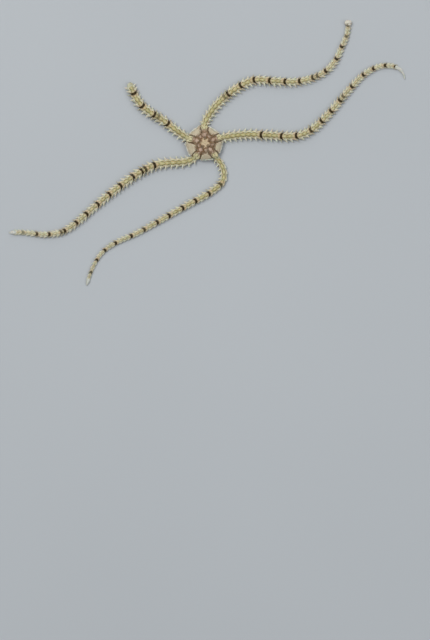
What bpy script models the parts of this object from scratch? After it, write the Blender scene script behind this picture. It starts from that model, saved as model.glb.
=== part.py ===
"""A life-size brittle star, mouth down on a floor.

It has a five-cornered disc with five jaws under it, four long arms and one short arm that has lost its
outer part. Each arm lies in its own curves and is parted into a few lengths, one behind the other.
Metres, +Z up. The floor is at z = 0 and the origin is under the middle of the star's box.
"""

import math
import random
from bisect import bisect_right
from dataclasses import dataclass

import bmesh
import bpy
from mathutils import Matrix, Vector

MM = 0.001
GAP = 0.3 * MM  # left open between pieces that meet
UP = Vector((0, 0, 1))

# The disc, with its centre's place from the middle of the whole box
DISC_CENTRE = Vector((-1.0 * MM, 4.7 * MM, 0))
FIRST_ARM = math.radians(93)  # way the back arm leaves the disc
ARM_STEP = math.radians(72)
DISC_SIDES = (7.7 * MM, 8.4 * MM, 7.5 * MM, 7.5 * MM, 7.2 * MM)  # centre to each side, anticlockwise
DISC_CORNER = 8.6 * MM
DISC_TOP = 4.2 * MM
DISC_RIM = 1.9 * MM  # height of the widest part
DISC_UNDER = 0.6 * MM  # clearance of the soft underside
DISC_ROUNDING = 0.7  # below 1 the sides are steeper and the back flatter
DISC_SEGMENTS = 40
DISC_RINGS = 12

# The pair of raised radial shields beside the root of each arm
SHIELD_HALVES = (1.5 * MM, 0.75 * MM, 0.5 * MM)
SHIELD_REACH = 6.1 * MM
SHIELD_TURN = math.radians(12)
SHIELD_HEIGHT = 3.45 * MM
SHIELD_TILT = math.radians(24)

# The mouth shields, flat plates under the disc between the arms
MOUTH_SHIELD_HALVES = (1.15 * MM, 1.0 * MM, 0.4 * MM)
MOUTH_SHIELD_REACH = 4.5 * MM
MOUTH_SHIELD_HEIGHT = 0.75 * MM

# The mouth and its jaws
MOUTH_RADIUS = 2.9 * MM
MOUTH_ROOF = 2.1 * MM
MOUTH_SEGMENTS = 30
JAW_TIP = 0.95 * MM  # centre of the mouth to the tip of a jaw
JAW_FLOOR = 0.3 * MM
CLEFT = 0.8 * MM  # slit between two jaws
TEETH = 2  # along each edge of a jaw
TOOTH_ROOT = 0.26 * MM
TOOTH_LENGTH = 0.2 * MM
TOOTH_SPACING = 0.6 * MM

# The arms
STUB_END = 9.05 * MM  # middle of the gap between the disc's stub and the arm
STUB_RINGS = (2 * MM, 5 * MM, 7.4 * MM)  # the arm's root under the disc
STUB_SPINES_AT = 8.4 * MM
ARM_HALF = 1.7 * MM  # half the width of an arm without its spines
ROOT_WAIST = 0.88  # share of that width at the disc
ROOT_RUN = 25 * MM  # the arm has filled out by here
TAPER = 0.75  # share of its width that an arm loses over its grown length
TIP_HALF = 0.36 * MM
PITCH = 2.35 * MM  # length of an arm joint near the disc
PITCH_LOSS = 0.42  # share of it lost towards the tip
WAIST = 0.8  # width where two joints meet, against their widest
FLARE_AT = 0.66  # the widest place of a joint, along its length
COLLAR = 0.3 * MM  # a straight bit before each cut face, so that faces that meet are alike
SECTION = ((0.5, 0), (1, 0.45), (0.9, 1.0), (0.35, 1.42))  # half an arm's section in half widths
ROUTE_STEPS = 16

# The spines, one a side on each joint
SPINE_LENGTH = 1.55 * MM  # out of the arm's side
SPINE_LEAST = 0.8 * MM
SPINE_THINNING = 0.7  # below 1 the spines shorten less than the arm thins
SPINE_ROOT = 0.5 * MM  # half its thickness at the root
SPINE_ROOT_LEAST = 0.3 * MM
SPINE_SUNK = 0.5 * MM
SPINE_HEIGHT = 0.78  # of the arm's half width
SPINE_FLANK = 0.94  # of the half width, where the arm's side is at that height
SPINE_CLEARANCE = 0.06 * MM
SPINE_LIFT = math.radians(6)
SPINE_ANGLES = (math.radians(80), math.radians(36))  # from the arm's line, at the disc and at the tip
SPINE_SIDES = 4
SPINE_VARIATION = 0.1
SPINE_SEED = 7

BUD_END = ((2.8 * MM, 1.0), (1.7 * MM, 1.05), (1.0 * MM, 0.85), (0.4 * MM, 0.5), (0, 0.25))
LONG_ARM = ("base", "inner", "middle", "outer", "tip")
SHORT_ARM = ("base", "end")

DISC_COLOUR = (0.42, 0.29, 0.20, 1)
JAW_COLOUR = (0.60, 0.44, 0.16, 1)
ARM_COLOUR = (0.46, 0.41, 0.20, 1)
TIP_COLOUR = (0.52, 0.48, 0.36, 1)


@dataclass(frozen=True)
class Arm:
    """One arm: its corner of the disc, and its middle line in millimetres from the disc's centre."""

    name: str
    corner: int
    route: tuple
    rings: tuple  # where its dark rings cross that line, in millimetres along it; two joints meet at each
    grown: float  # length from the disc's centre with what it has lost
    lengths: tuple = LONG_ARM
    slimness: float = 1.0
    spines: tuple = (1.0, 1.0)  # their length on the left and right of the arm, as the arm is rolled
    end: tuple = BUD_END  # rounds the end: pairs of distance before it and share of the width
    seams: tuple = ()  # where two joints meet though no dark ring lies there


ARMS = (
    Arm(
        "arm_back",
        0,
        ((0, 0), (-0.3, 4.6), (-0.3, 7.4), (0.75, 10.7), (5.3, 16.95), (12.65, 23.25), (21.4, 27.6),
         (31.4, 27.2), (41.3, 27.1), (51.0, 30.3), (56.9, 35.7), (60.0, 42.1), (62.4, 48.0), (63.0, 54.0)),
        (23.4, 25.4, 32.1, 38.5, 45.3, 52.1, 58.5, 64.5, 66.8, 71.0, 78.2, 84.0, 89.0, 93.9),
        111 * MM,
        spines=(0.8, 1.15),
        end=((2.6 * MM, 1.0), (2.1 * MM, 1.8), (1.4 * MM, 2.08), (0.5 * MM, 1.93), (0, 1.2)),
    ),
    Arm(
        "arm_short",
        1,
        ((0, 0), (-7.2, 2.0), (-12.4, 5.3), (-18.7, 10.15), (-25.1, 14.15), (-29.75, 18.9), (-33.4, 26.4)),
        (18.9, 24.0, 26.0, 32.5, 39.2),
        111 * MM,
        SHORT_ARM,
        spines=(1.15, 0.85),
        end=((1.6 * MM, 1.0), (1.1 * MM, 0.97), (0.6 * MM, 0.84), (0.2 * MM, 0.58), (0, 0.3)),
        seams=(40.8, 42.4),
    ),
    Arm(
        "arm_left",
        2,
        ((0, 0), (-3.4, -5.0), (-5.9, -7.2), (-9.6, -8.4), (-15.3, -8.7), (-22.2, -9.8), (-29.8, -13.6),
         (-39.6, -20.6), (-49.1, -28.5), (-56.5, -35.0), (-63.0, -39.1), (-70.9, -40.2), (-79.9, -39.3),
         (-86.2, -39.4)),
        (26.2, 30.5, 32.3, 36.9, 43.7, 49.9, 56.6, 63.1, 69.0, 75.3, 76.9, 82.3, 87.8, 93.9),
        112 * MM,
    ),
    Arm(
        "arm_front",
        3,
        ((0, 0), (4.0, -5.7), (6.8, -8.8), (8.3, -13.2), (7.2, -17.6), (1.6, -22.2), (-7.0, -26.9),
         (-18.6, -33.4), (-29.6, -39.5), (-39.5, -44.0), (-45.4, -48.4), (-49.2, -54.4), (-52.2, -62.6)),
        (21.4, 27.8, 34.5, 41.0, 47.8, 53.8, 60.4, 66.7, 74.3, 80.0, 85.6, 91.6),
        110 * MM,
        slimness=0.8,
        spines=(0.45, 1.0),
    ),
    Arm(
        "arm_right",
        4,
        ((0, 0), (6.9, 2.2), (17.8, 3.7), (29.1, 3.3), (37.0, 2.9), (43.3, 3.9), (48.8, 7.3), (55.5, 14.1),
         (62.7, 22.7), (69.7, 30.0), (76.3, 33.6), (82.0, 34.0), (85.6, 32.5), (87.3, 30.3), (87.8, 28.2)),
        (25.3, 34.2, 40.8, 47.7, 53.9, 60.0, 66.1, 68.4, 74.1, 81.3, 86.5, 91.9, 96.4),
        112 * MM,
        end=((6.5 * MM, 1.05), (3.9 * MM, 0.97), (3.2 * MM, 0.65), (1.6 * MM, 0.51), (0.5 * MM, 0.39), (0, 0.2)),
    ),
)


class Route:
    """A smooth line on the floor through an arm's points, read by the distance along it."""

    def __init__(self, points):
        knots = [DISC_CENTRE + Vector((x, y, 0)) * MM for x, y in points]
        knots = [2 * knots[0] - knots[1], *knots, 2 * knots[-1] - knots[-2]]
        self.places = []
        for four in zip(knots, knots[1:], knots[2:], knots[3:]):
            self.places += [on_spline(four, step / ROUTE_STEPS) for step in range(ROUTE_STEPS)]
        self.places.append(knots[-2])
        self.reaches = [0.0]
        for start, end in zip(self.places, self.places[1:]):
            self.reaches.append(self.reaches[-1] + (end - start).length)
        self.length = self.reaches[-1]

    def at(self, distance):
        """The place that far along, also a little past either end."""
        index = min(max(bisect_right(self.reaches, distance) - 1, 0), len(self.places) - 2)
        share = (distance - self.reaches[index]) / (self.reaches[index + 1] - self.reaches[index])
        return self.places[index].lerp(self.places[index + 1], share)

    def heading(self, distance):
        """The way the line runs there, level."""
        return (self.at(distance + 0.5 * MM) - self.at(distance - 0.5 * MM)).normalized()


def on_spline(knots, share):
    """A place on the Catmull-Rom curve between the middle two of four knots."""
    before, start, end, after = knots
    linear = end - before
    square = 2 * before - 5 * start + 4 * end - after
    cube = 3 * start - before - 3 * end + after
    return (2 * start + linear * share + square * share**2 + cube * share**3) / 2


def half_width(arm, distance):
    """Half the width of an arm's body at its joints' widest places."""
    filling = ROOT_WAIST + (1 - ROOT_WAIST) * min(distance / ROOT_RUN, 1)
    thinning = 1 - TAPER * (distance / arm.grown) ** 2
    return max(ARM_HALF * arm.slimness * filling * thinning, TIP_HALF)


def joint_ends(arm, route):
    """Distances at which an arm's joints meet, from the disc's stub to the arm's end."""
    stops = [STUB_END, *(stop * MM for stop in sorted(arm.rings + arm.seams)), route.length]
    ends = [STUB_END]
    for start, end in zip(stops, stops[1:]):
        pitch = PITCH * (1 - PITCH_LOSS * (start / arm.grown) ** 2)
        count = max(round((end - start) / pitch), 1)
        ends += [start + (end - start) * joint / count for joint in range(1, count + 1)]
    return ends


def part_joints(arm, route, ends):
    """First joint of each length, so that each holds a like share of the arm's run and of its turning."""
    burden = [0.0]
    for start, end in zip(ends, ends[1:]):
        turning = route.heading(start).angle(route.heading(end))
        burden.append(burden[-1] + (end - start) / route.length + turning / math.pi)
    count = len(arm.lengths)
    firsts = [bisect_right(burden, burden[-1] * part / count) for part in range(1, count)]
    return [0, *firsts, len(ends) - 1]


def collar(arm, route, cut, way):
    """Two rings square to the arm beside a cut, so that the faces on its two sides are parallel."""
    half = WAIST * half_width(arm, cut)
    heading = route.heading(cut) * way
    return [(route.at(cut) + heading * (GAP / 2 + run), half) for run in (0, COLLAR)]


def arm_rings(arm, route, ends, first, last):
    """Rings of one length of an arm: the place on the floor and half the width there."""
    joints = list(zip(ends[first:last], ends[first + 1 :]))
    shares = [(start + FLARE_AT * (end - start), 1.0) for start, end in joints]
    shares += [(end, WAIST) for end in ends[first + 1 : last]]
    if last == len(ends) - 1:
        shares = [ring for ring in shares if ring[0] < ends[last] - arm.end[0][0]]
        shares += [(ends[last] - before, share) for before, share in arm.end]
    rings = [(route.at(distance), share * half_width(arm, distance)) for distance, share in sorted(shares)]
    rings = collar(arm, route, ends[first], 1) + rings
    if last < len(ends) - 1:
        rings += reversed(collar(arm, route, ends[last], -1))
    return rings


def clear_scene():
    """Removes what the file holds."""
    for piece in list(bpy.data.objects):
        bpy.data.objects.remove(piece)
    for group in list(bpy.data.collections):
        bpy.data.collections.remove(group)


def new_collection(name):
    """A collection in the scene."""
    group = bpy.data.collections.new(name)
    bpy.context.scene.collection.children.link(group)
    return group


def shell_material(name, colour):
    """A dull limy shell."""
    material = bpy.data.materials.new(name)
    material.use_nodes = True
    shader = material.node_tree.nodes["Principled BSDF"]
    shader.inputs["Base Color"].default_value = colour
    shader.inputs["Roughness"].default_value = 0.55
    shader.inputs["Metallic"].default_value = 0
    return material


def new_object(name, bm, group):
    """An object from a bmesh, which is freed."""
    mesh = bpy.data.meshes.new(name)
    bm.to_mesh(mesh)
    bm.free()
    piece = bpy.data.objects.new(name, mesh)
    group.objects.link(piece)
    return piece


def settle_mesh(piece):
    """Puts the piece's evaluated shape in its mesh, with no modifier left."""
    evaluated = piece.evaluated_get(bpy.context.evaluated_depsgraph_get())
    mesh = bpy.data.meshes.new_from_object(evaluated)
    piece.modifiers.clear()
    piece.data = mesh


def fuse(core, pieces, group):
    """Joins closed pieces to their core in one body, and removes them."""
    for piece in pieces:
        group.objects.link(piece)
    union = core.modifiers.new("fuse", "BOOLEAN")
    union.operation = "UNION"
    union.operand_type = "COLLECTION"
    union.collection = group
    union.solver = "EXACT"
    settle_mesh(core)
    for piece in pieces:
        bpy.data.objects.remove(piece)
    keep_largest(core)


def cut(core, cutter):
    """Takes a cutter's shape out of a core."""
    difference = core.modifiers.new("cut", "BOOLEAN")
    difference.operation = "DIFFERENCE"
    difference.object = cutter
    difference.solver = "EXACT"
    settle_mesh(core)
    keep_largest(core)


def keep_largest(piece):
    """Keeps the closed surface that holds most, in triangles."""
    bm = bmesh.new()
    bm.from_mesh(piece.data)
    bmesh.ops.remove_doubles(bm, verts=bm.verts, dist=0.001 * MM)
    bmesh.ops.triangulate(bm, faces=bm.faces)
    left = set(bm.faces)
    surfaces = []
    while left:
        surface = {left.pop()}
        front = list(surface)
        while front:
            face = front.pop()
            for edge in face.edges:
                for other in edge.link_faces:
                    if other in left:
                        left.remove(other)
                        surface.add(other)
                        front.append(other)
        surfaces.append(surface)
    largest = max(surfaces, key=held_volume)
    bmesh.ops.delete(bm, geom=[face for face in bm.faces if face not in largest], context="FACES")
    bm.to_mesh(piece.data)
    bm.free()


def held_volume(faces):
    """The volume that a closed surface of triangles holds."""
    total = 0.0
    for face in faces:
        a, b, c = (vert.co for vert in face.verts)
        total += a.dot(b.cross(c)) / 6
    return total


def section_curve(group):
    """The arm's section as a closed outline, its sole on the axis that the arm's line carries."""
    half = [(x * ARM_HALF, y * ARM_HALF) for x, y in SECTION]
    outline = half + [(-x, y) for x, y in reversed(half)]
    data = bpy.data.curves.new("arm_section", "CURVE")
    data.dimensions = "2D"
    spline = data.splines.new("POLY")
    spline.points.add(len(outline) - 1)
    for point, (x, y) in zip(spline.points, outline):
        point.co = (x, y, 0, 1)
    spline.use_cyclic_u = True
    guide = bpy.data.objects.new("arm_section", data)
    guide.hide_render = True
    guide.display_type = "WIRE"
    group.objects.link(guide)
    return guide


def sleeve(name, rings, section, group):
    """The arm's section carried along its line, wide and narrow by turns, as a closed mesh."""
    data = bpy.data.curves.new(name, "CURVE")
    data.dimensions = "3D"
    data.twist_mode = "Z_UP"
    data.bevel_mode = "OBJECT"
    data.bevel_object = section
    data.use_fill_caps = True
    spline = data.splines.new("POLY")
    spline.points.add(len(rings) - 1)
    for point, (place, half) in zip(spline.points, rings):
        point.co = (*place, 1)
        point.radius = half / ARM_HALF
    line = bpy.data.objects.new(name, data)
    group.objects.link(line)
    evaluated = line.evaluated_get(bpy.context.evaluated_depsgraph_get())
    bm = bmesh.new()
    bm.from_mesh(bpy.data.meshes.new_from_object(evaluated))
    bpy.data.objects.remove(line)
    bmesh.ops.remove_doubles(bm, verts=bm.verts, dist=0.001 * MM)
    bmesh.ops.recalc_face_normals(bm, faces=bm.faces)
    return new_object(name, bm, group)


def thorn(root, tip, radius):
    """A spike with a ridge along its top, not yet in a collection."""
    along = (tip - root).normalized()
    side = along.cross(UP).normalized()
    turn = Matrix((side, along.cross(side), along)).transposed().to_4x4()
    bm = bmesh.new()
    bmesh.ops.create_cone(
        bm,
        cap_ends=True,
        segments=SPINE_SIDES,
        radius1=radius,
        radius2=0,
        depth=(tip - root).length,
        matrix=Matrix.Translation((root + tip) / 2) @ turn,
    )
    bmesh.ops.remove_doubles(bm, verts=bm.verts, dist=0.001 * MM)
    mesh = bpy.data.meshes.new("thorn")
    bm.to_mesh(mesh)
    bm.free()
    return bpy.data.objects.new("thorn", mesh)


def arm_spines(arm, route, distance, draw):
    """The pair of spines of one joint, one on each side."""
    half = half_width(arm, distance)
    size = half / ARM_HALF
    heading = route.heading(distance)
    at_disc, at_tip = SPINE_ANGLES
    angle = at_disc + (at_tip - at_disc) * (distance / arm.grown) ** 1.5
    pair = []
    for side, rolled in zip((1, -1), arm.spines):
        swing = side * (angle + draw.uniform(-SPINE_VARIATION, SPINE_VARIATION))
        length = max(SPINE_LENGTH * size**SPINE_THINNING, SPINE_LEAST) * rolled
        length *= 1 + draw.uniform(-SPINE_VARIATION, SPINE_VARIATION)
        along = Matrix.Rotation(swing, 3, "Z") @ heading
        along = along * math.cos(SPINE_LIFT) + UP * math.sin(SPINE_LIFT)
        outward = UP.cross(heading) * side
        thickness = max(SPINE_ROOT * size, SPINE_ROOT_LEAST)
        height = max(half * SPINE_HEIGHT, thickness + SPINE_CLEARANCE)
        flank = route.at(distance) + outward * half * SPINE_FLANK + UP * height
        root = flank - along * SPINE_SUNK * max(size, 0.5)
        pair.append(thorn(root, flank + along * length, thickness))
    return pair


def make_arm(arm, section, parts, fusing):
    """One arm's lengths, each a body with its own spines."""
    route = Route(arm.route)
    ends = joint_ends(arm, route)
    bounds = part_joints(arm, route, ends)
    draw = random.Random(SPINE_SEED + arm.corner)
    lengths = []
    for name, first, last in zip(arm.lengths, bounds, bounds[1:]):
        length = sleeve(f"{arm.name}_{name}", arm_rings(arm, route, ends, first, last), section, parts)
        spines = []
        for start, end in zip(ends[first:last], ends[first + 1 :]):
            if end < route.length - arm.end[0][0]:
                spines += arm_spines(arm, route, start + FLARE_AT * (end - start), draw)
        fuse(length, spines, fusing)
        move_origin(length, route.at(ends[first]))
        share = ends[first] / arm.grown
        colour = [a + (b - a) * share for a, b in zip(ARM_COLOUR, TIP_COLOUR)]
        length.data.materials.append(shell_material(length.name, colour))
        lengths.append(length)
    return lengths


def disc_reach(angle):
    """Centre of the disc to its edge, seen from above: five straight sides with the corners cut round."""
    turn = (angle - FIRST_ARM) % math.tau
    side = DISC_SIDES[int(turn / ARM_STEP) % len(DISC_SIDES)]
    return min(side / math.cos(turn % ARM_STEP - ARM_STEP / 2), DISC_CORNER)


def disc_cushion(group):
    """The disc without its plates: a globe reshaped to a low five-sided cushion."""
    bm = bmesh.new()
    bmesh.ops.create_uvsphere(bm, u_segments=DISC_SEGMENTS, v_segments=DISC_RINGS, radius=1)
    bmesh.ops.rotate(bm, verts=bm.verts, matrix=Matrix.Rotation(FIRST_ARM, 3, "Z"))
    for vert in bm.verts:
        across = math.hypot(vert.co.x, vert.co.y)
        angle = math.atan2(vert.co.y, vert.co.x)
        rise = DISC_TOP - DISC_RIM if vert.co.z > 0 else DISC_RIM - DISC_UNDER
        reach = disc_reach(angle) * across**DISC_ROUNDING
        vert.co = (reach * math.cos(angle), reach * math.sin(angle), DISC_RIM + rise * vert.co.z)
    bmesh.ops.translate(bm, verts=bm.verts, vec=DISC_CENTRE)
    return new_object("disc", bm, group)


def plate(halves, reach, height, angle, tilt):
    """A low oval plate that far from the disc's centre, tilted outwards, not yet in a collection."""
    bm = bmesh.new()
    bmesh.ops.create_uvsphere(bm, u_segments=10, v_segments=6, radius=1)
    bmesh.ops.scale(bm, verts=bm.verts, vec=halves)
    bmesh.ops.rotate(bm, verts=bm.verts, matrix=Matrix.Rotation(tilt, 3, "Y"))
    bmesh.ops.translate(bm, verts=bm.verts, vec=(reach, 0, height))
    bmesh.ops.rotate(bm, verts=bm.verts, matrix=Matrix.Rotation(angle, 3, "Z"))
    bmesh.ops.translate(bm, verts=bm.verts, vec=DISC_CENTRE)
    mesh = bpy.data.meshes.new("plate")
    bm.to_mesh(mesh)
    bm.free()
    return bpy.data.objects.new("plate", mesh)


def mouth_cutter(group):
    """The round hollow under the disc that holds the jaws."""
    bm = bmesh.new()
    bmesh.ops.create_cone(
        bm,
        cap_ends=True,
        segments=MOUTH_SEGMENTS,
        radius1=MOUTH_RADIUS,
        radius2=MOUTH_RADIUS,
        depth=2 * MOUTH_ROOF,
        matrix=Matrix.Translation(DISC_CENTRE),
    )
    cutter = new_object("mouth_hollow", bm, group)
    cutter.hide_render = True
    cutter.display_type = "WIRE"
    return cutter


def make_disc(section, parts, fusing, cutters):
    """The disc with its plates and the five arms' roots, and the mouth's hollow under it."""
    disc = disc_cushion(parts)
    draw = random.Random(SPINE_SEED)
    plates = []
    for arm in ARMS:
        route = Route(arm.route)
        toward = FIRST_ARM + arm.corner * ARM_STEP
        rings = [(route.at(distance), WAIST * half_width(arm, distance)) for distance in STUB_RINGS]
        rings += reversed(collar(arm, route, STUB_END, -1))
        plates.append(sleeve("stub", rings, section, parts))
        parts.objects.unlink(plates[-1])
        plates += arm_spines(arm, route, STUB_SPINES_AT, draw)
        for side in (1, -1):
            turn = toward + side * SHIELD_TURN
            plates.append(plate(SHIELD_HALVES, SHIELD_REACH, SHIELD_HEIGHT, turn, SHIELD_TILT))
        turn = toward + ARM_STEP / 2
        plates.append(plate(MOUTH_SHIELD_HALVES, MOUTH_SHIELD_REACH, MOUTH_SHIELD_HEIGHT, turn, 0))
    fuse(disc, plates, fusing)
    cut(disc, mouth_cutter(cutters))
    move_origin(disc, DISC_CENTRE)
    disc.data.materials.append(shell_material("disc", DISC_COLOUR))
    return disc


def make_jaw(index, parts, fusing):
    """One jaw: a wedge of the mouth's hollow that points at its middle, with teeth along its edges."""
    bm = bmesh.new()
    height = MOUTH_ROOF - GAP - JAW_FLOOR
    bmesh.ops.create_cone(
        bm,
        cap_ends=True,
        segments=MOUTH_SEGMENTS,
        radius1=MOUTH_RADIUS - GAP,
        radius2=MOUTH_RADIUS - GAP,
        depth=height,
        matrix=Matrix.Translation((0, 0, JAW_FLOOR + height / 2)),
    )
    outs = [Vector((-math.sin(ARM_STEP / 2), side * math.cos(ARM_STEP / 2), 0)) for side in (1, -1)]
    trim(bm, outs[0] * -CLEFT / 2, outs[0])
    trim(bm, outs[1] * -CLEFT / 2, outs[1])
    trim(bm, Vector((JAW_TIP, 0, 0)), Vector((-1, 0, 0)))
    jaw = new_object(f"jaw_{index + 1}", bm, parts)
    teeth = []
    level = UP * (JAW_FLOOR + TOOTH_ROOT)
    for out in outs:
        edge = Vector((math.cos(ARM_STEP / 2), math.copysign(math.sin(ARM_STEP / 2), out.y), 0))
        for tooth in range(1, TEETH + 1):
            place = level + edge * (JAW_TIP + tooth * TOOTH_SPACING) - out * CLEFT / 2
            teeth.append(thorn(place - out * TOOTH_ROOT, place + out * TOOTH_LENGTH, TOOTH_ROOT))
    front = level + Vector((JAW_TIP, 0, 0))
    teeth.append(thorn(front + Vector((TOOTH_ROOT, 0, 0)), front - Vector((TOOTH_LENGTH, 0, 0)), TOOTH_ROOT))
    fuse(jaw, teeth, fusing)
    jaw.location = DISC_CENTRE
    jaw.rotation_euler.z = FIRST_ARM + (index + 0.5) * ARM_STEP
    jaw.data.materials.append(shell_material(jaw.name, JAW_COLOUR))
    return jaw


def trim(bm, place, out):
    """Takes off what lies beyond a plane and closes the cut."""
    geometry = [*bm.verts, *bm.edges, *bm.faces]
    cut_through = bmesh.ops.bisect_plane(bm, geom=geometry, plane_co=place, plane_no=out, clear_outer=True)
    rim = [edge for edge in cut_through["geom_cut"] if isinstance(edge, bmesh.types.BMEdge)]
    bmesh.ops.edgeloop_fill(bm, edges=rim)
    bmesh.ops.recalc_face_normals(bm, faces=bm.faces)


def move_origin(piece, place):
    """Puts a piece's origin at a place and leaves its shape where it is."""
    piece.data.transform(Matrix.Translation(-place))
    piece.location = place


def build():
    """Makes the star, its pieces parented to one empty."""
    clear_scene()
    parts = new_collection("brittle_star")
    cutters = new_collection("cutters")
    fusing = new_collection("fusing")
    section = section_curve(cutters)
    star = bpy.data.objects.new("brittle_star", None)
    parts.objects.link(star)
    pieces = [make_disc(section, parts, fusing, cutters)]
    pieces += [make_jaw(index, parts, fusing) for index in range(len(ARMS))]
    for arm in ARMS:
        pieces += make_arm(arm, section, parts, fusing)
    for piece in pieces:
        piece.parent = star
    bpy.data.collections.remove(fusing)


build()
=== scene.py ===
"""Looks of a life-size brittle star that lies mouth down on a pale floor.

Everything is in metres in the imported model's frame: +Z is up and the floor is at z = 0. One skin covers the
disc and the arms. On it sit the limy plates of the arms' backs, sides and soles, the spines, the scales and
shields of the disc, and the jaws with their teeth. Each kind is joined into a few pieces.
"""

import copy
import logging
import math
import random
from collections.abc import Callable
from dataclasses import dataclass, field
from enum import Enum

import bmesh
import bpy
import numpy as np
from mathutils import Matrix, Vector
from mathutils.kdtree import KDTree


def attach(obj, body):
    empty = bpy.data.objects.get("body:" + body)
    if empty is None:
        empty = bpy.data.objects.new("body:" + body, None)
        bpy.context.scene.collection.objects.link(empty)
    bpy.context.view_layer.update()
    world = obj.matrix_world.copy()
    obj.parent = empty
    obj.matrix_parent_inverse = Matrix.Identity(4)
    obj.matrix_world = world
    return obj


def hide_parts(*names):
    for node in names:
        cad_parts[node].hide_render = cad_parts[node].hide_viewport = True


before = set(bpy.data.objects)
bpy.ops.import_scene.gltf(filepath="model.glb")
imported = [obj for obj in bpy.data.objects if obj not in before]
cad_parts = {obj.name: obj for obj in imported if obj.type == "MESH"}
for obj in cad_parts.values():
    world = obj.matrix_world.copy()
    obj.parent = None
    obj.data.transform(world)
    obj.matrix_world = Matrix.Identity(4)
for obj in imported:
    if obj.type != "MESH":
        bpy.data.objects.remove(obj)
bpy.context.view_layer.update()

LOG = logging.getLogger("brittle_star")
BODY = "root"

MM = 0.001
UP = Vector((0, 0, 1))
DISC_CENTRE = Vector((-1.0 * MM, 4.7 * MM, 0))
FIRST_ARM = math.radians(93)  # way the back arm leaves the disc
ARM_COUNT = 5
ARM_STEP = math.radians(360 / ARM_COUNT)
STUB_END = 9.05 * MM  # where the arms' free lengths begin
MERGE = 0.002 * MM
CLEARANCE = 0.02 * MM  # least height of the small scales over the floor

Array = np.ndarray
Colour = tuple[float, float, float, float]
Span = tuple[float, float]
Triple = tuple[float, float, float]
Socket = bpy.types.NodeSocket
Look = tuple[Socket, object]  # what feeds a finish's colour, and what feeds its roughness


def shade(red: int, green: int, blue: int) -> Colour:
    """A colour as a screen shows it, in whole steps to 255, made linear."""
    parts = [value / 255 for value in (red, green, blue)]
    linear = [part / 12.92 if part <= 0.04045 else ((part + 0.055) / 1.055) ** 2.4 for part in parts]
    return (*linear, 1.0)


def fade(value: Array, none: float, full: float) -> Array:
    """Goes smoothly from 0 where the value is at none to 1 where it is at full, which may be lower."""
    share = np.clip((np.asarray(value, float) - none) / (full - none), 0, 1)
    return share * share * (3 - 2 * share)


def oval(along: Array, across: Array, halves: Span) -> Array:
    """A soft oval patch: 1 in its middle, 0 past its edge."""
    return fade(np.hypot(along / halves[0], across / halves[1]), 1.15, 0.8)


def from_centre(places: Array) -> Array:
    """Rows of x and y from the disc's centre."""
    return np.asarray(places)[..., :2] - np.array(DISC_CENTRE[:2])


def ways_at(turn: float) -> tuple[Vector, Vector]:
    """The level way at an angle, and the one to the left of it."""
    way = Vector((math.cos(turn), math.sin(turn), 0))
    return way, Vector((-way.y, way.x, 0))


def seated(columns: tuple[Vector, Vector, Vector], place: Vector | Array) -> Array:
    """Four rows of four that lay a shape's x, y and z along three vectors, at a place."""
    matrix = np.eye(4)
    matrix[:3, :3] = np.array(columns).T
    matrix[:3, 3] = place
    return matrix


def read_numbers(
    items: bpy.types.bpy_prop_collection, name: str, kind: type = float, width: int = 1
) -> Array:
    """Reads what a mesh's points, corners or faces hold.

    Args:
        items: The points, corners or faces.
        name: What they hold.
        kind: The numbers' type.
        width: How many numbers each of them holds.

    Returns:
        One row for each, or one number for each where the width is 1.
    """
    flat = np.zeros(len(items) * width, kind)
    items.foreach_get(name, flat)
    return flat.reshape(-1, width) if width > 1 else flat


def write_numbers(mesh: bpy.types.Mesh, name: str, numbers: Array) -> None:
    """Gives a mesh's points an attribute, which its materials read."""
    attribute = mesh.attributes.new(name, "FLOAT", "POINT")
    attribute.data.foreach_set("value", np.asarray(numbers, np.float32))


def add_object(name: str, data: bpy.types.ID) -> bpy.types.Object:
    """A new object in the scene, with its mesh, camera or light."""
    made = bpy.data.objects.new(name, data)
    bpy.context.scene.collection.objects.link(made)
    return made


def write_map(mesh: bpy.types.Mesh, name: str, places: Array) -> None:
    """Gives a mesh's corners a UV map."""
    layer = mesh.uv_layers.new(name=name)
    layer.data.foreach_set("uv", places.ravel())


class Slot(Enum):
    """The record's material slots."""

    DISC = "disc"
    MOUTH = "mouth"
    ARM = "arm"
    ARM_END = "arm_end"


class Bud(Enum):
    """How an arm ends: healed to a knob, blunt, or in a bud that grows again."""

    HEALED = "healed_end"
    BLUNT = "blunt_end"
    CLEAR = "clear_end"


class Side(Enum):
    """A side of an arm, seen from above as it leaves the disc."""

    LEFT = 1
    RIGHT = -1


@dataclass(frozen=True)
class ArmPlan:
    """One arm as it lies.

    All but the grown length is in millimetres. The route is its middle line from the disc's centre. The rings
    are the distances along it at which its dark rings lie, the faint ones again with their strength, and the
    seams are those at which joints meet without a ring. The spines have a length for each side, against the
    usual one, as the arm is rolled. The end holds distances before the arm's end, each with the share of its
    width there.
    """

    name: str
    corner: int
    route: tuple[Span, ...]
    rings: tuple[float, ...]
    faint: tuple[Span, ...]
    grown: float
    lengths: tuple[str, ...] = ("base", "inner", "middle", "outer", "tip")
    slimness: float = 1.0
    spines: Span = (1.0, 1.0)
    end: tuple[Span, ...] = ((2.8, 1.15), (1.7, 1.2), (1.0, 0.9), (0.4, 0.5), (0, 0.1))
    bud: Bud = Bud.CLEAR
    seams: tuple[float, ...] = ()

    def nodes(self) -> list[str]:
        """Names of the solids that the arm's lengths have."""
        return [f"{self.name}_{length}" for length in self.lengths]


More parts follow.
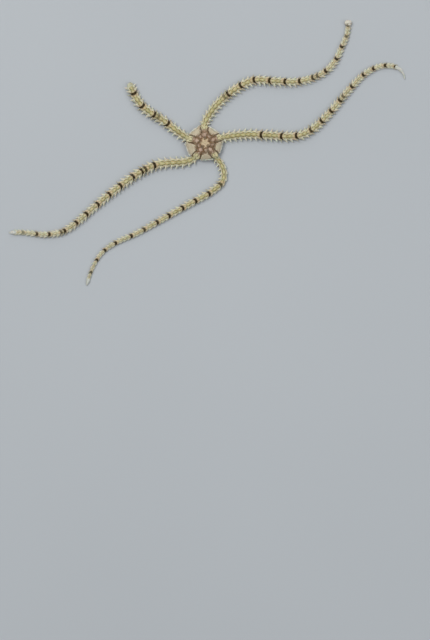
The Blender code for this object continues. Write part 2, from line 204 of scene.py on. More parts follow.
ARMS = (
    ArmPlan(
        "arm_back",
        0,
        ((0, 0), (-0.3, 4.6), (-0.3, 7.4), (0.75, 10.7), (5.3, 16.95), (12.65, 23.25), (21.4, 27.6),
         (31.4, 27.2), (41.3, 27.1), (51.0, 30.3), (56.9, 35.7), (60.0, 42.1), (62.4, 48.0), (63.0, 54.0)),
        (23.4, 25.4, 32.1, 38.5, 45.3, 52.1, 58.5, 64.5, 66.8, 71.0, 78.2, 84.0, 89.0, 93.9),
        ((23.4, 0.5), (64.5, 0.92), (66.8, 0.75), (89.0, 0.75), (93.9, 0.8)),
        111 * MM,
        spines=(0.8, 1.15),
        end=((2.6, 0.97), (2.1, 1.73), (1.5, 2.05), (0.6, 1.94), (0.15, 1.4), (0, 0.3)),
        bud=Bud.HEALED,
    ),
    ArmPlan(
        "arm_short",
        1,
        ((0, 0), (-7.2, 2.0), (-12.4, 5.3), (-18.7, 10.15), (-25.1, 14.15), (-29.75, 18.9), (-33.4, 26.4)),
        (18.9, 24.0, 26.0, 32.5, 39.2),
        ((24.0, 0.56),),
        111 * MM,
        ("base", "end"),
        spines=(1.15, 0.85),
        end=((1.6, 1.0), (1.1, 0.96), (0.6, 0.82), (0.2, 0.55), (0, 0.12)),
        bud=Bud.BLUNT,
        seams=(40.8, 42.4),
    ),
    ArmPlan(
        "arm_left",
        2,
        ((0, 0), (-3.4, -5.0), (-5.9, -7.2), (-9.6, -8.4), (-15.3, -8.7), (-22.2, -9.8), (-29.8, -13.6),
         (-39.6, -20.6), (-49.1, -28.5), (-56.5, -35.0), (-63.0, -39.1), (-70.9, -40.2), (-79.9, -39.3),
         (-86.2, -39.4)),
        (26.2, 30.5, 32.3, 36.9, 43.7, 49.9, 56.6, 63.1, 69.0, 75.3, 76.9, 82.3, 87.8, 93.9),
        ((30.5, 0.9), (76.9, 0.8), (93.9, 0.6)),
        112 * MM,
    ),
    ArmPlan(
        "arm_front",
        3,
        ((0, 0), (4.0, -5.7), (6.8, -8.8), (8.3, -13.2), (7.2, -17.6), (1.6, -22.2), (-7.0, -26.9),
         (-18.6, -33.4), (-29.6, -39.5), (-39.5, -44.0), (-45.4, -48.4), (-49.2, -54.4), (-52.2, -62.6)),
        (21.4, 27.8, 34.5, 41.0, 47.8, 53.8, 60.4, 66.7, 74.3, 80.0, 85.6, 91.6),
        ((21.4, 0.8), (60.4, 0.92), (91.6, 0.85)),
        110 * MM,
        slimness=0.8,
        spines=(0.45, 1.0),
    ),
    ArmPlan(
        "arm_right",
        4,
        ((0, 0), (6.9, 2.2), (17.8, 3.7), (29.1, 3.3), (37.0, 2.9), (43.3, 3.9), (48.8, 7.3), (55.5, 14.1),
         (62.7, 22.7), (69.7, 30.0), (76.3, 33.6), (82.0, 34.0), (85.6, 32.5), (87.3, 30.3), (87.8, 28.2)),
        (25.3, 34.2, 40.8, 47.7, 53.9, 60.0, 66.1, 68.4, 74.1, 81.3, 86.5, 91.9, 96.4),
        ((47.7, 0.92), (68.4, 0.75)),
        112 * MM,
        end=((6.5, 1.05), (3.9, 0.94), (3.2, 0.6), (1.6, 0.47), (0.5, 0.36), (0, 0.1)),
    ),
)


@dataclass(frozen=True)
class Route:
    """A smooth line on the floor through an arm's points, read by the distance along it."""

    reaches: Array
    places: Array

    @classmethod
    def through(cls, points: tuple[Span, ...], steps: int = 24) -> "Route":
        """The Catmull-Rom line through points given in millimetres from the disc's centre."""
        knots = [np.array((DISC_CENTRE.x + x * MM, DISC_CENTRE.y + y * MM)) for x, y in points]
        knots = [2 * knots[0] - knots[1], *knots, 2 * knots[-1] - knots[-2]]
        places = []
        for before, start, end, after in zip(knots, knots[1:], knots[2:], knots[3:]):
            for share in np.arange(steps) / steps:
                linear = (end - before) * share
                square = (2 * before - 5 * start + 4 * end - after) * share**2
                cube = (3 * start - before - 3 * end + after) * share**3
                places.append((2 * start + linear + square + cube) / 2)
        places = np.array([*places, knots[-2]])
        runs = np.linalg.norm(np.diff(places, axis=0), axis=1)
        return cls(np.concatenate(([0.0], np.cumsum(runs))), places)

    @property
    def length(self) -> float:
        """From the disc's centre to the arm's end."""
        return float(self.reaches[-1])

    def between(self, distance: Array) -> Array:
        """Places on the line, as rows of x and y."""
        return np.stack([np.interp(distance, self.reaches, self.places[:, axis]) for axis in (0, 1)], axis=1)

    def at(self, distance: Array) -> Array:
        """Places on the line, as rows of x and y, also a little past either end."""
        distance = np.atleast_1d(distance)
        inside = np.clip(distance, 0, self.length)
        return self.between(inside) + self.heading(inside) * (distance - inside)[:, None]

    def heading(self, distance: Array) -> Array:
        """Ways that the line runs, as rows of x and y."""
        distance = np.clip(np.atleast_1d(distance), 0.6 * MM, self.length - 0.6 * MM)
        way = self.between(distance + 0.5 * MM) - self.between(distance - 0.5 * MM)
        return way / np.linalg.norm(way, axis=1, keepdims=True)


@dataclass(frozen=True)
class Joint:
    """One joint of an arm: where it starts and ends along the arm, and how light it is."""

    start: float
    end: float
    tone: float

    @property
    def pitch(self) -> float:
        """Its length."""
        return self.end - self.start

    def along(self, run: Array) -> Array:
        """Distances along the arm for shares of the joint's length."""
        return self.start + self.pitch * run


@dataclass
class ArmBody:
    """An arm's own measures, from which its skin, plates and spines are placed."""

    plan: ArmPlan
    half: float = 1.7 * MM  # half the width of an arm without its spines
    least_half: float = 0.36 * MM
    root_waist: float = 0.88
    root_run: float = 25 * MM
    taper: float = 0.75  # share of its width that it loses over its grown length
    pitch: float = 2.35 * MM
    pitch_loss: float = 0.42
    middle: float = 0.62  # height of the arm's middle, in half widths
    crown: float = 0.8  # from there to the back
    sole: float = 0.58  # and to the underside
    bow: float = 0.32  # share of a joint's length by which its line bends back at the sides
    route: Route = field(init=False)
    joints: list[Joint] = field(init=False)

    def __post_init__(self) -> None:
        """Works out the route and the joints."""
        self.route = Route.through(self.plan.route)
        draw = random.Random(41 + self.plan.corner)
        lines = sorted(self.plan.rings + self.plan.seams)
        stops = [STUB_END, *(line * MM for line in lines), self.route.length]
        ends = [STUB_END]
        for start, end in zip(stops, stops[1:]):
            count = max(round((end - start) / self.pitch_at(start)), 1)
            ends += [start + (end - start) * joint / count for joint in range(1, count + 1)]
        self.joints = [Joint(start, end, draw.random()) for start, end in zip(ends, ends[1:])]

    def pitch_at(self, distance: float | Array) -> float | Array:
        """Length of a joint that far along the arm."""
        return self.pitch * (1 - self.pitch_loss * (distance / self.plan.grown) ** 2)

    def half_at(self, distance: Array) -> Array:
        """Half the arm's width at its joints' widest places."""
        filling = self.root_waist + (1 - self.root_waist) * np.clip(distance / self.root_run, 0, 1)
        thinning = 1 - self.taper * np.clip(distance / self.plan.grown, 0, 1) ** 2
        narrow = np.interp(distance, (3 * MM, STUB_END, 12 * MM), (0.78, 0.96, 1))
        return np.maximum(self.half * self.plan.slimness * filling * thinning, self.least_half) * narrow

    def bend(self, across: Array) -> Array:
        """Share of a joint's length by which the joint's line lies further out, away from the middle."""
        return self.bow * np.clip(across, -1, 1) ** 2 - 0.2

    def points(self, distance: Array, turn: Array, depth: Array) -> Array:
        """Places on or over the arm's surface.

        Args:
            distance: Along the arm.
            turn: Round the arm in degrees, from its left side over the back at 90.
            depth: Above the surface, as a share of the way from the arm's middle.

        Returns:
            Rows of x, y and z.
        """
        angle = np.radians(turn)
        half = self.half_at(distance)
        across = np.cos(angle) * (1 + depth) * half
        rise = np.where(np.sin(angle) > 0, self.crown, self.sole) * np.sin(angle) * (1 + depth)
        way = self.route.heading(distance)
        left = np.stack((-way[:, 1], way[:, 0]), axis=1)
        flat = self.route.at(distance) + left * across[:, None]
        return np.column_stack((flat, (self.middle + rise) * half))

    def end_places(self, distance: Array, turn: Array, share: Array) -> Array:
        """Places on the arm's surface or inside it, also where its end swells or narrows.

        Args:
            distance: Along the arm.
            turn: Round the arm in degrees, from its left side over the back at 90.
            share: Of the arm's width there.

        Returns:
            Rows of x, y and z.
        """
        ending = self.end_share(distance)
        rise = self.middle * self.half_at(distance)
        middles = np.column_stack((self.route.at(distance), rise))
        surface = self.points(distance, turn, np.zeros(len(distance)))
        places = middles + (surface - middles) * (share * ending)[:, None]
        places[:, 2] += rise * (np.maximum(ending, 1) - 1)
        return places

    def ring_marks(self, distance: Array, across: Array, pitch: Array) -> dict[str, Array]:
        """How far places are from the nearest dark ring.

        Args:
            distance: Along the arm.
            across: From the arm's middle line, in half widths.
            pitch: Length of the joint there.

        Returns:
            ring: millimetres past the ring's line, and band: how strong that ring is.
        """
        line = (distance - self.bend(across) * pitch) / MM
        rings = np.array(self.plan.rings)
        offsets = line[:, None] - rings[None, :]
        nearest = np.abs(offsets).argmin(axis=1)
        offset = offsets[np.arange(len(line)), nearest]
        spacing = np.diff(rings, prepend=rings[0] - 9, append=rings[-1] + 9)
        room = np.where(offset > 0, spacing[nearest + 1], spacing[nearest]) / 2
        faint = dict(self.plan.faint)
        strengths = np.array([faint.get(ring, 1.0) for ring in self.plan.rings])
        near = 1 - np.clip((np.abs(offset) / np.minimum(room, 2.4) - 0.66) / 0.3, 0, 1)
        return {"ring": np.clip(offset, -3, 3), "band": strengths[nearest] * near}

    def end_share(self, distance: Array) -> Array:
        """Share of the arm's width that its rounded end leaves."""
        before = [reach * MM for reach, _ in reversed(self.plan.end)]
        shares = [share for _, share in reversed(self.plan.end)]
        left = self.route.length - distance
        return np.where(left < before[-1], np.interp(left, before, shares), 1.0)


@dataclass(frozen=True)
class BakeSheet:
    """The layout of the map on which the colours are baked.

    Each arm has a strip, and the disc's back and underside have a round each.
    """

    strip: float = 0.1
    strip_step: float = 0.112
    margin: float = 0.012
    longest: float = 108 * MM
    back_middle: Span = (0.24, 0.79)
    under_middle: Span = (0.72, 0.79)
    disc_radius: float = 0.19
    disc_reach: float = 10 * MM
    disc_height: float = 4.4 * MM

    def arm(self, corner: int, distance: Array, turn: Array) -> Array:
        """Places on an arm's strip, for degrees round the arm counted from the middle of its sole."""
        u = self.margin + (1 - 2 * self.margin) * np.asarray(distance) / self.longest
        v = self.margin + self.strip_step * corner + self.strip * np.asarray(turn) / 360
        return np.stack(np.broadcast_arrays(u, v), axis=-1)

    def disc(self, places: Array, back: bool) -> Array:
        """Places on the round of the disc's back or of its underside."""
        flat = from_centre(places)
        height = np.asarray(places)[..., 2]
        out = np.hypot(flat[..., 0], flat[..., 1])
        drop = self.disc_height - height if back else height
        radius = self.disc_radius * (out / self.disc_reach + drop / self.disc_height) / 2
        way = flat / np.maximum(out, MERGE)[..., None]
        return np.array(self.back_middle if back else self.under_middle) + way * radius[..., None]


SHEET = BakeSheet()


class Stamp:
    """A small shape that is made once and set down many times."""

    def __init__(self, bm: bmesh.types.BMesh, chart: Callable[[Vector], Span]) -> None:
        """Keeps a bmesh's shape, and frees it.

        Args:
            bm: The shape.
            chart: Gives each point's place on the shape's own square, from 0 to 1.
        """
        bmesh.ops.recalc_face_normals(bm, faces=bm.faces)
        bm.verts.index_update()
        self.places = np.array([vert.co for vert in bm.verts], float)
        self.chart = np.array([chart(vert.co) for vert in bm.verts], float)
        rings = [[vert.index for vert in face.verts] for face in bm.faces]
        self.sizes = np.array([len(ring) for ring in rings])
        self.corners = np.array([index for ring in rings for index in ring])
        self.mirrored = np.array([index for ring in rings for index in reversed(ring)])
        bm.free()

    @classmethod
    def slab(cls, columns: int, rows: int) -> "Stamp":
        """A unit plate in a grid: x and y from 0 to 1 over it, and z 0 underneath and 1 on top."""
        bm = bmesh.new()
        bmesh.ops.create_grid(bm, x_segments=columns, y_segments=rows, size=0.5)
        bmesh.ops.translate(bm, verts=bm.verts, vec=(0.5, 0.5, 0))
        raised = bmesh.ops.extrude_face_region(bm, geom=bm.faces[:], use_keep_orig=True)
        tops = [item for item in raised["geom"] if isinstance(item, bmesh.types.BMVert)]
        bmesh.ops.translate(bm, verts=tops, vec=(0, 0, 1))
        return cls(bm, cls.slab_chart)

    @staticmethod
    def slab_chart(place: Vector) -> Span:
        """A slab's place on its square, its underside a little smaller than its top."""
        size = 0.82 + 0.18 * place.z
        return 0.5 + (place.x - 0.5) * size, 0.5 + (place.y - 0.5) * size

    @classmethod
    def button(cls, sides: int, inset: float = 0.3) -> "Stamp":
        """A round low plate of radius 1, with a raised middle: z 0 underneath and 1 on top."""
        bm = bmesh.new()
        bmesh.ops.create_circle(bm, cap_ends=True, segments=sides, radius=1)
        raised = bmesh.ops.extrude_face_region(bm, geom=bm.faces[:], use_keep_orig=True)
        tops = [item for item in raised["geom"] if isinstance(item, bmesh.types.BMVert)]
        bmesh.ops.translate(bm, verts=tops, vec=(0, 0, 0.62))
        lids = [face for face in bm.faces if face.calc_center_median().z > 0.5]
        bmesh.ops.inset_region(bm, faces=lids, thickness=inset, depth=0, use_even_offset=True)
        inner = [face for face in bm.faces if face.calc_center_median().z > 0.5 and len(face.verts) == sides]
        bmesh.ops.translate(bm, verts=[vert for face in inner for vert in face.verts], vec=(0, 0, 0.38))
        bmesh.ops.poke(bm, faces=inner)
        return cls(bm, cls.button_chart)

    @staticmethod
    def button_chart(place: Vector) -> Span:
        """A button's place on its square, its underside a little smaller than its rim."""
        size = 0.5 if place.z > 0.3 else 0.42
        return 0.5 + place.x * size, 0.5 + place.y * size

    @classmethod
    def spike(cls, sides: int, profile: tuple[Span, ...]) -> "Stamp":
        """A spine along +Z, from pairs of a height and the radius there, closed to a point."""
        bm = bmesh.new()
        bmesh.ops.create_circle(bm, cap_ends=True, segments=sides, radius=profile[0][1])
        rim = bm.edges[:]
        for (below, wide), (height, radius) in zip(profile, profile[1:]):
            grown = bmesh.ops.extrude_edge_only(bm, edges=rim)["geom"]
            verts = [item for item in grown if isinstance(item, bmesh.types.BMVert)]
            rim = [item for item in grown if isinstance(item, bmesh.types.BMEdge)]
            rim = [edge for edge in rim if all(vert in verts for vert in edge.verts)]
            bmesh.ops.scale(bm, verts=verts, vec=(radius / wide, radius / wide, 1))
            bmesh.ops.translate(bm, verts=verts, vec=(0, 0, height - below))
        bmesh.ops.pointmerge(bm, verts=verts, merge_co=(0, 0, profile[-1][0]))
        return cls(bm, cls.spike_chart)

    @staticmethod
    def spike_chart(place: Vector) -> Span:
        """A spine's place on its square, as seen from its tip."""
        way = math.atan2(place.y, place.x)
        out = 0.5 * (1 - 0.88 * place.z)
        return 0.5 + out * math.cos(way), 0.5 + out * math.sin(way)

    def wrapped(self, shape: Callable[[Array, Array, Array], tuple[Array, Array, Array]]) -> "Stamp":
        """The same faces with every point moved.

        Args:
            shape: Takes all x, all y and all z, and gives the new ones.

        Returns:
            The changed shape, with the chart that this one has.
        """
        other = copy.copy(self)
        other.places = np.column_stack(np.broadcast_arrays(*shape(*self.places.T)))
        return other

    def laid(self, matrix: Array) -> Array:
        """Where a matrix of four rows puts its points."""
        return self.places @ matrix[:3, :3].T + matrix[:3, 3]


class Coat:
    """Gathers many small shapes and makes them one piece."""

    def __init__(self, name: str) -> None:
        """Starts empty.

        Args:
            name: The name that the piece gets.
        """
        self.name = name
        self.places: list[Array] = []
        self.corners: list[Array] = []
        self.sizes: list[Array] = []
        self.charts: list[Array] = []
        self.bakes: list[Array] = []
        self.values: dict[str, list[Array]] = {}
        self.count = 0

    def add(
        self,
        stamp: Stamp,
        places: Array,
        bake_at: Array,
        bake_size: float,
        mirrored: bool = False,
        **values: float | Array,
    ) -> None:
        """Sets a shape down.

        Args:
            stamp: The shape.
            places: Where its points lie now.
            bake_at: The middle of its patch on the bake map.
            bake_size: How wide that patch is.
            mirrored: Whether the places turn the shape inside out.
            values: What the piece's materials read, one number or one for each point.
        """
        corners = stamp.mirrored if mirrored else stamp.corners
        self.places.append(places)
        self.corners.append(corners + self.count)
        self.sizes.append(stamp.sizes)
        self.charts.append(stamp.chart)
        self.bakes.append(bake_at + (stamp.chart - 0.5) * bake_size)
        for name, value in values.items():
            spread = np.broadcast_to(np.asarray(value, float), (len(places),))
            self.values.setdefault(name, []).append(spread)
        self.count += len(places)

    def place(
        self, stamp: Stamp, matrix: Array, bake_at: Array, bake_size: float, **values: float | Array
    ) -> None:
        """Sets a shape down by a matrix, which may mirror it."""
        mirrored = bool(np.linalg.det(matrix[:3, :3]) < 0)
        self.add(stamp, stamp.laid(matrix), bake_at, bake_size, mirrored, **values)

    def piece(self, material: bpy.types.Material, slot: Slot) -> None:
        """Makes the gathered shapes one object that rides on the star.

        Args:
            material: Its material.
            slot: Not used; it is passed on to finish_piece, which ignores it.
        """
        corners = np.concatenate(self.corners)
        sizes = np.concatenate(self.sizes)
        mesh = bpy.data.meshes.new(self.name)
        mesh.vertices.add(self.count)
        mesh.vertices.foreach_set("co", np.concatenate(self.places).ravel())
        mesh.loops.add(len(corners))
        mesh.loops.foreach_set("vertex_index", corners)
        mesh.polygons.add(len(sizes))
        mesh.polygons.foreach_set("loop_start", np.concatenate(([0], np.cumsum(sizes)[:-1])))
        mesh.update(calc_edges=True)
        for name, flat in (("OFBake", self.bakes), ("plate", self.charts)):
            write_map(mesh, name, np.concatenate(flat)[corners])
        for name, parts in self.values.items():
            write_numbers(mesh, name, np.concatenate(parts))
        finish_piece(self.name, mesh, material, slot)


def finish_piece(
    name: str, mesh: bpy.types.Mesh, material: bpy.types.Material, slot: Slot
) -> bpy.types.Object:
    """An object with its mesh in place, smooth, riding on the star.

    Args:
        name: Its name.
        mesh: Its mesh, already in the frame.
        material: Its material.
        slot: Not used.

    Returns:
        The new object.
    """
    mesh.validate()
    mesh.shade_smooth()
    mesh.materials.append(material)
    piece = add_object(name, mesh)
    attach(piece, BODY)
    triangles = sum(len(face.vertices) - 2 for face in mesh.polygons)
    LOG.info("%s: %d triangles", name, triangles)
    return piece


class Web:
    """Makes and links the nodes of one tree in short calls."""

    def __init__(self, tree: bpy.types.NodeTree) -> None:
        """Works on a material's or a group's nodes."""
        self.tree = tree

    def node(self, kind: str, inputs: dict | None = None, **settings: object) -> bpy.types.Node:
        """A new node.

        Args:
            kind: Its type, without the leading ShaderNode.
            inputs: What goes into its sockets: numbers, colours or other nodes' outputs.
            settings: Its own options.

        Returns:
            The node.
        """
        node = self.tree.nodes.new("ShaderNode" + kind)
        for name, value in settings.items():
            setattr(node, name, value)
        self.fill(node, inputs or {})
        return node

    def fill(self, node: bpy.types.Node, inputs: dict) -> None:
        """Feeds a node's sockets by their names or numbers."""
        for name, value in inputs.items():
            self.feed(node.inputs[name], value)

    def feed(self, socket: Socket, value: object) -> None:
        """Links an output to a socket, or sets the socket's own value."""
        if isinstance(value, Socket):
            self.tree.links.new(value, socket)
        else:
            socket.default_value = value

    def math(self, operation: str, first: object, second: object = 0.0) -> Socket:
        """One step of arithmetic."""
        return self.node("Math", {0: first, 1: second}, operation=operation).outputs[0]

    def times(self, first: object, second: object) -> Socket:
        """Two numbers multiplied."""
        return self.math("MULTIPLY", first, second)

    def off(self, value: object, middle: float) -> Socket:
        """How far a number is from a middle one, either way."""
        return self.math("ABSOLUTE", self.math("SUBTRACT", value, middle))

    def fade(self, value: object, none: float, full: float, most: float = 1.0) -> Socket:
        """Goes smoothly from 0 where the value is at none to most where it is at full."""
        start, end, low, high = (none, full, 0.0, most) if none < full else (full, none, most, 0.0)
        inputs = {"Value": value, "From Min": start, "From Max": end, "To Min": low, "To Max": high}
        return self.node("MapRange", inputs, interpolation_type="SMOOTHSTEP").outputs[0]

    def pulse(self, value: object, middle: float, half: float) -> Socket:
        """1 where the value is near the middle, 0 further off than half."""
        return self.fade(self.off(value, middle), half, half * 0.35)

    def mix(self, share: object, first: object, second: object) -> Socket:
        """A colour between two."""
        return self.node("Mix", {0: share, 6: first, 7: second}, data_type="RGBA").outputs[2]

    def reading(self, name: str) -> Socket:
        """A number that the mesh carries."""
        return self.node("Attribute", attribute_name=name).outputs["Fac"]

    def chart(self) -> tuple[Socket, Socket]:
        """A plate's own place, across and along, from 0 to 1."""
        flat = self.node("UVMap", uv_map="plate").outputs[0]
        parts = self.node("SeparateXYZ", {0: flat})
        return parts.outputs[0], parts.outputs[1]

    def spread(self, middle: Span = (0.5, 0.5)) -> Socket:
        """How far a place on a plate's own square is from its middle."""
        squares = [self.math("POWER", self.off(value, at), 2.0) for value, at in zip(self.chart(), middle)]
        return self.math("SQRT", self.math("ADD", *squares))

    def place(self, kind: str, inputs: dict) -> bpy.types.Node:
        """A group's node with its values."""
        return self.node("Group", inputs, node_tree=bpy.data.node_groups[kind])


def new_group(name: str, inputs: dict[str, object], *outputs: str) -> tuple[Web, dict, bpy.types.Node]:
    """An empty shader node group.

    Args:
        name: Its name.
        inputs: Each input's name and usual value, a number or a colour.
        outputs: Each output's name. One named Color holds a colour, and the others a number.

    Returns:
        The group's nodes, its inputs by name, and its output node.
    """
    tree = bpy.data.node_groups.new(name, "ShaderNodeTree")
    for label, value in inputs.items():
        kind = "NodeSocketColor" if isinstance(value, tuple) else "NodeSocketFloat"
        socket = tree.interface.new_socket(name=label, in_out="INPUT", socket_type=kind)
        socket.default_value = value
    for label in outputs:
        kind = "NodeSocketColor" if label == "Color" else "NodeSocketFloat"
        tree.interface.new_socket(name=label, in_out="OUTPUT", socket_type=kind)
    web = Web(tree)
    given = tree.nodes.new("NodeGroupInput")
    result = tree.nodes.new("NodeGroupOutput")
    return web, {label: given.outputs[label] for label in inputs}, result


def build_grain() -> None:
    """The group limy_grain: fine pores and a soft mottle, as lime plates have."""
    usual = {"Scale": 2600.0, "Mottle Scale": 500.0}
    web, given, result = new_group("limy_grain", usual, "Height", "Mottle")
    place = web.node("TexCoord").outputs["Object"]
    pores = web.node("TexVoronoi", {"Vector": place, "Scale": given["Scale"]}, feature="F1")
    rough = web.node("TexNoise", {"Vector": place, "Scale": given["Scale"], "Detail": 3.0})
    cloud = web.node("TexNoise", {"Vector": place, "Scale": given["Mottle Scale"], "Detail": 4.0})
    dimple = web.fade(pores.outputs["Distance"], 0.1, 0.55, 0.6)
    mottle = web.fade(cloud.outputs[0], 0.33, 0.68)
    web.fill(result, {"Height": web.math("ADD", dimple, rough.outputs[0]), "Mottle": mottle})


RING_TINTS = (  # millimetres past a ring's line, half as wide, how strong, and the colour there
    (-0.9, 0.75, 0.5, shade(212, 186, 150)),
    (0.9, 0.45, 0.5, shade(212, 192, 160)),
    (0.05, 0.86, 1.0, shade(52, 37, 2)),
)
DISC_TINTS = {  # the disc's marks, each over those before it
    "net": shade(124, 90, 58),
    "dark": shade(78, 54, 24),
    "rose": shade(192, 164, 144),
    "yolk": shade(222, 212, 170),
    "pale": shade(208, 184, 148),
}


def build_ring() -> None:
    """The group dark_ring: an arm's colour with its dark rings, which the mesh's numbers place."""
    usual = {"Plain": (0.5, 0.45, 0.3, 1.0), "Strength": 1.0}
    web, given, result = new_group("dark_ring", usual, "Color")
    ring = web.reading("ring")
    strength = web.times(web.reading("band"), given["Strength"])
    colour = given["Plain"]
    for middle, half, most, tint in RING_TINTS:
        near = web.times(web.pulse(ring, middle, half), strength)
        colour = web.mix(web.times(near, most), colour, tint)
    web.fill(result, {"Color": colour})


def build_disc_marking() -> None:
    """The group disc_marking: the disc's colours, from the marks that the mesh carries."""
    usual = {"Plain": shade(204, 190, 162), "Mottle": 0.5}
    web, given, result = new_group("disc_marking", usual, "Color")
    colour = web.mix(web.times(given["Mottle"], 0.4), given["Plain"], shade(176, 152, 128))
    for mark, tint in DISC_TINTS.items():
        colour = web.mix(web.reading(mark), colour, tint)
    web.fill(result, {"Color": colour})


@dataclass(frozen=True)
class Finish:
    """What all the finishes share: a dull limy or skinny surface with a fine grain."""

    name: str
    roughness: float = 0.5
    subsurface: float = 0.0
    coat: float = 0.0
    grain: float = 2600.0
    mottle: float = 500.0
    relief: float = 0.35
    depth: float = 0.05 * MM
    glow: float = 0.6 * MM  # how far light runs inside
    shine: float = 0.2
    coat_roughness: float = 0.2

    def material(self) -> bpy.types.Material:
        """The finish as a material, made once."""
        known = bpy.data.materials.get(self.name)
        if known:
            return known
        material = bpy.data.materials.new(self.name)
        material.use_nodes = True
        web = Web(material.node_tree)
        shader = material.node_tree.nodes["Principled BSDF"]
        grain = web.place("limy_grain", {"Scale": self.grain, "Mottle Scale": self.mottle})
        colour, gloss = self.colour(web, grain.outputs["Mottle"])
        relief = {"Height": grain.outputs["Height"], "Strength": self.relief, "Distance": self.depth}
        surface = {
            "Base Color": colour,
            "Roughness": gloss,
            "Normal": web.node("Bump", relief).outputs[0],
            "Subsurface Weight": self.subsurface,
            "Subsurface Scale": self.glow,
            "Specular IOR Level": self.shine,
            "Coat Weight": self.coat,
            "Coat Roughness": self.coat_roughness,
        }
        web.fill(shader, surface)
        return material

    def colour(self, web: Web, mottle: Socket) -> Look:
        """The colour and the roughness, for a material's nodes and a soft mottle from 0 to 1."""
        raise NotImplementedError


@dataclass(frozen=True)
class PlateFinish(Finish):
    """A plate of an arm: lighter in its middle, darker along its edges, crossed by the dark rings."""

    plain: Colour = shade(190, 179, 126)
    outer: Colour = shade(204, 195, 162)
    light: Colour = shade(218, 208, 168)
    edge: Colour = shade(104, 90, 36)
    edge_share: float = 0.95
    ring_strength: float = 1.0
    middle: Span = (0.5, 0.62)

    def colour(self, web: Web, mottle: Socket) -> Look:
        """The plate's own marks, then the arm's rings."""
        across, along = web.chart()
        boss = web.fade(web.spread(self.middle), 0.2, 0.04, 0.5)
        off = web.off(across, self.middle[0])
        border = web.times(web.fade(off, 0.27, 0.44, self.edge_share), web.fade(along, 1.0, 0.75))
        tail = web.fade(along, 0.3, 0.14, self.edge_share * 0.55)
        share = web.reading("share")
        base = web.mix(web.fade(share, 0.25, 0.95), self.plain, self.outer)
        base = web.mix(web.times(mottle, 0.4), base, self.edge)
        base = web.mix(web.times(web.reading("tone"), 0.22), base, self.light)
        base = web.mix(web.math("MAXIMUM", boss, web.fade(share, 0.088, 0.066, 0.6)), base, self.light)
        base = web.mix(web.math("MAXIMUM", border, tail), base, self.edge)
        ring = web.place("dark_ring", {"Plain": base, "Strength": self.ring_strength})
        return ring.outputs["Color"], web.math("ADD", self.roughness, web.times(boss, -0.12))


@dataclass(frozen=True)
class SidePlateFinish(Finish):
    """A side plate of an arm: creamy, whiter towards the spines, with a darker upper edge."""

    plain: Colour = shade(208, 199, 166)
    outer: Colour = shade(211, 205, 178)
    light: Colour = shade(224, 220, 196)
    edge: Colour = shade(120, 108, 62)

    def colour(self, web: Web, mottle: Socket) -> Look:
        """The plate's own marks, then the arm's rings on its upper part."""
        across, along = web.chart()
        base = web.mix(web.fade(web.reading("share"), 0.25, 0.95), self.plain, self.outer)
        base = web.mix(web.times(mottle, 0.3), base, self.edge)
        base = web.mix(web.fade(along, 0.45, 0.8, 0.75), base, self.light)
        upper = web.times(web.fade(across, 0.84, 0.97), web.fade(along, 1.0, 0.55))
        base = web.mix(web.times(upper, 0.7), base, self.edge)
        ring = web.place("dark_ring", {"Plain": base, "Strength": web.fade(across, 0.3, 0.52)})
        return ring.outputs["Color"], self.roughness


@dataclass(frozen=True)
class SpineFinish(Finish):
    """A glassy spine: greyer and clearer at the tip and beside a dark ring."""

    root: Colour = shade(212, 206, 178)
    tip: Colour = shade(222, 220, 202)
    greyed: Colour = shade(170, 162, 138)

    def colour(self, web: Web, mottle: Socket) -> Look:
        """Root to tip, greyer at a ring."""
        reach = web.reading("reach")
        base = web.mix(reach, self.root, self.tip)
        base = web.mix(web.times(mottle, 0.25), base, self.greyed)
        greyed = web.mix(web.times(web.reading("band"), 0.75), base, self.greyed)
        return greyed, self.roughness


@dataclass(frozen=True)
class SoleFinish(Finish):
    """A plate of an arm's underside, whitish grey with a faint darker border."""

    plain: Colour = shade(190, 188, 172)
    warm: Colour = shade(204, 194, 158)
    edge: Colour = shade(150, 146, 128)

    def colour(self, web: Web, mottle: Socket) -> Look:
        """Warmer under the disc."""
        across, along = web.chart()
        base = web.mix(web.fade(web.reading("share"), 0.16, 0.05), self.plain, self.warm)
        base = web.mix(web.times(mottle, 0.3), base, self.edge)
        border = web.math("MAXIMUM", web.fade(web.off(across, 0.5), 0.36, 0.5), web.fade(along, 0.12, 0.0))
        return web.mix(web.times(border, 0.6), base, self.edge), self.roughness


@dataclass(frozen=True)
class DiscFinish(Finish):
    """A scale or plate of the disc's back: the disc's markings, darker round its rim."""

    rim: float = 0.34
    lines: Colour = shade(104, 84, 60)
    light: Colour = shade(216, 204, 178)

    def colour(self, web: Web, mottle: Socket) -> Look:
        """The disc's marking with each plate's own rim."""
        marks = web.place("disc_marking", {"Mottle": mottle})
        base = web.mix(web.times(web.reading("tone"), 0.22), marks.outputs["Color"], self.light)
        return web.mix(web.fade(web.spread(), 0.33, 0.5, self.rim), base, self.lines), self.roughness


@dataclass(frozen=True)
class PlainFinish(Finish):
    """Two colours in a soft mottle, a third round each plate's rim."""

    plain: Colour = shade(180, 170, 164)
    mottled: Colour = shade(158, 146, 144)
    rim: Colour = shade(198, 190, 178)
    rim_share: float = 0.5

    def colour(self, web: Web, mottle: Socket) -> Look:
        """The mottle, then the rim."""
        base = web.mix(mottle, self.plain, self.mottled)
        base = web.mix(web.times(web.reading("tone"), 0.3), base, self.rim)
        return web.mix(web.fade(web.spread(), 0.3, 0.5, self.rim_share), base, self.rim), self.roughness


@dataclass(frozen=True)
class BudFinish(PlainFinish):
    """The scales of an arm's end, which may be stained where it begins."""

    stain: float = 0.0

    def colour(self, web: Web, mottle: Socket) -> Look:
        """A mottle that the stain's share of it confines to the end's neck."""
        near = web.math("ADD", web.times(web.reading("neck"), self.stain), 1 - self.stain)
        return super().colour(web, web.times(mottle, near))


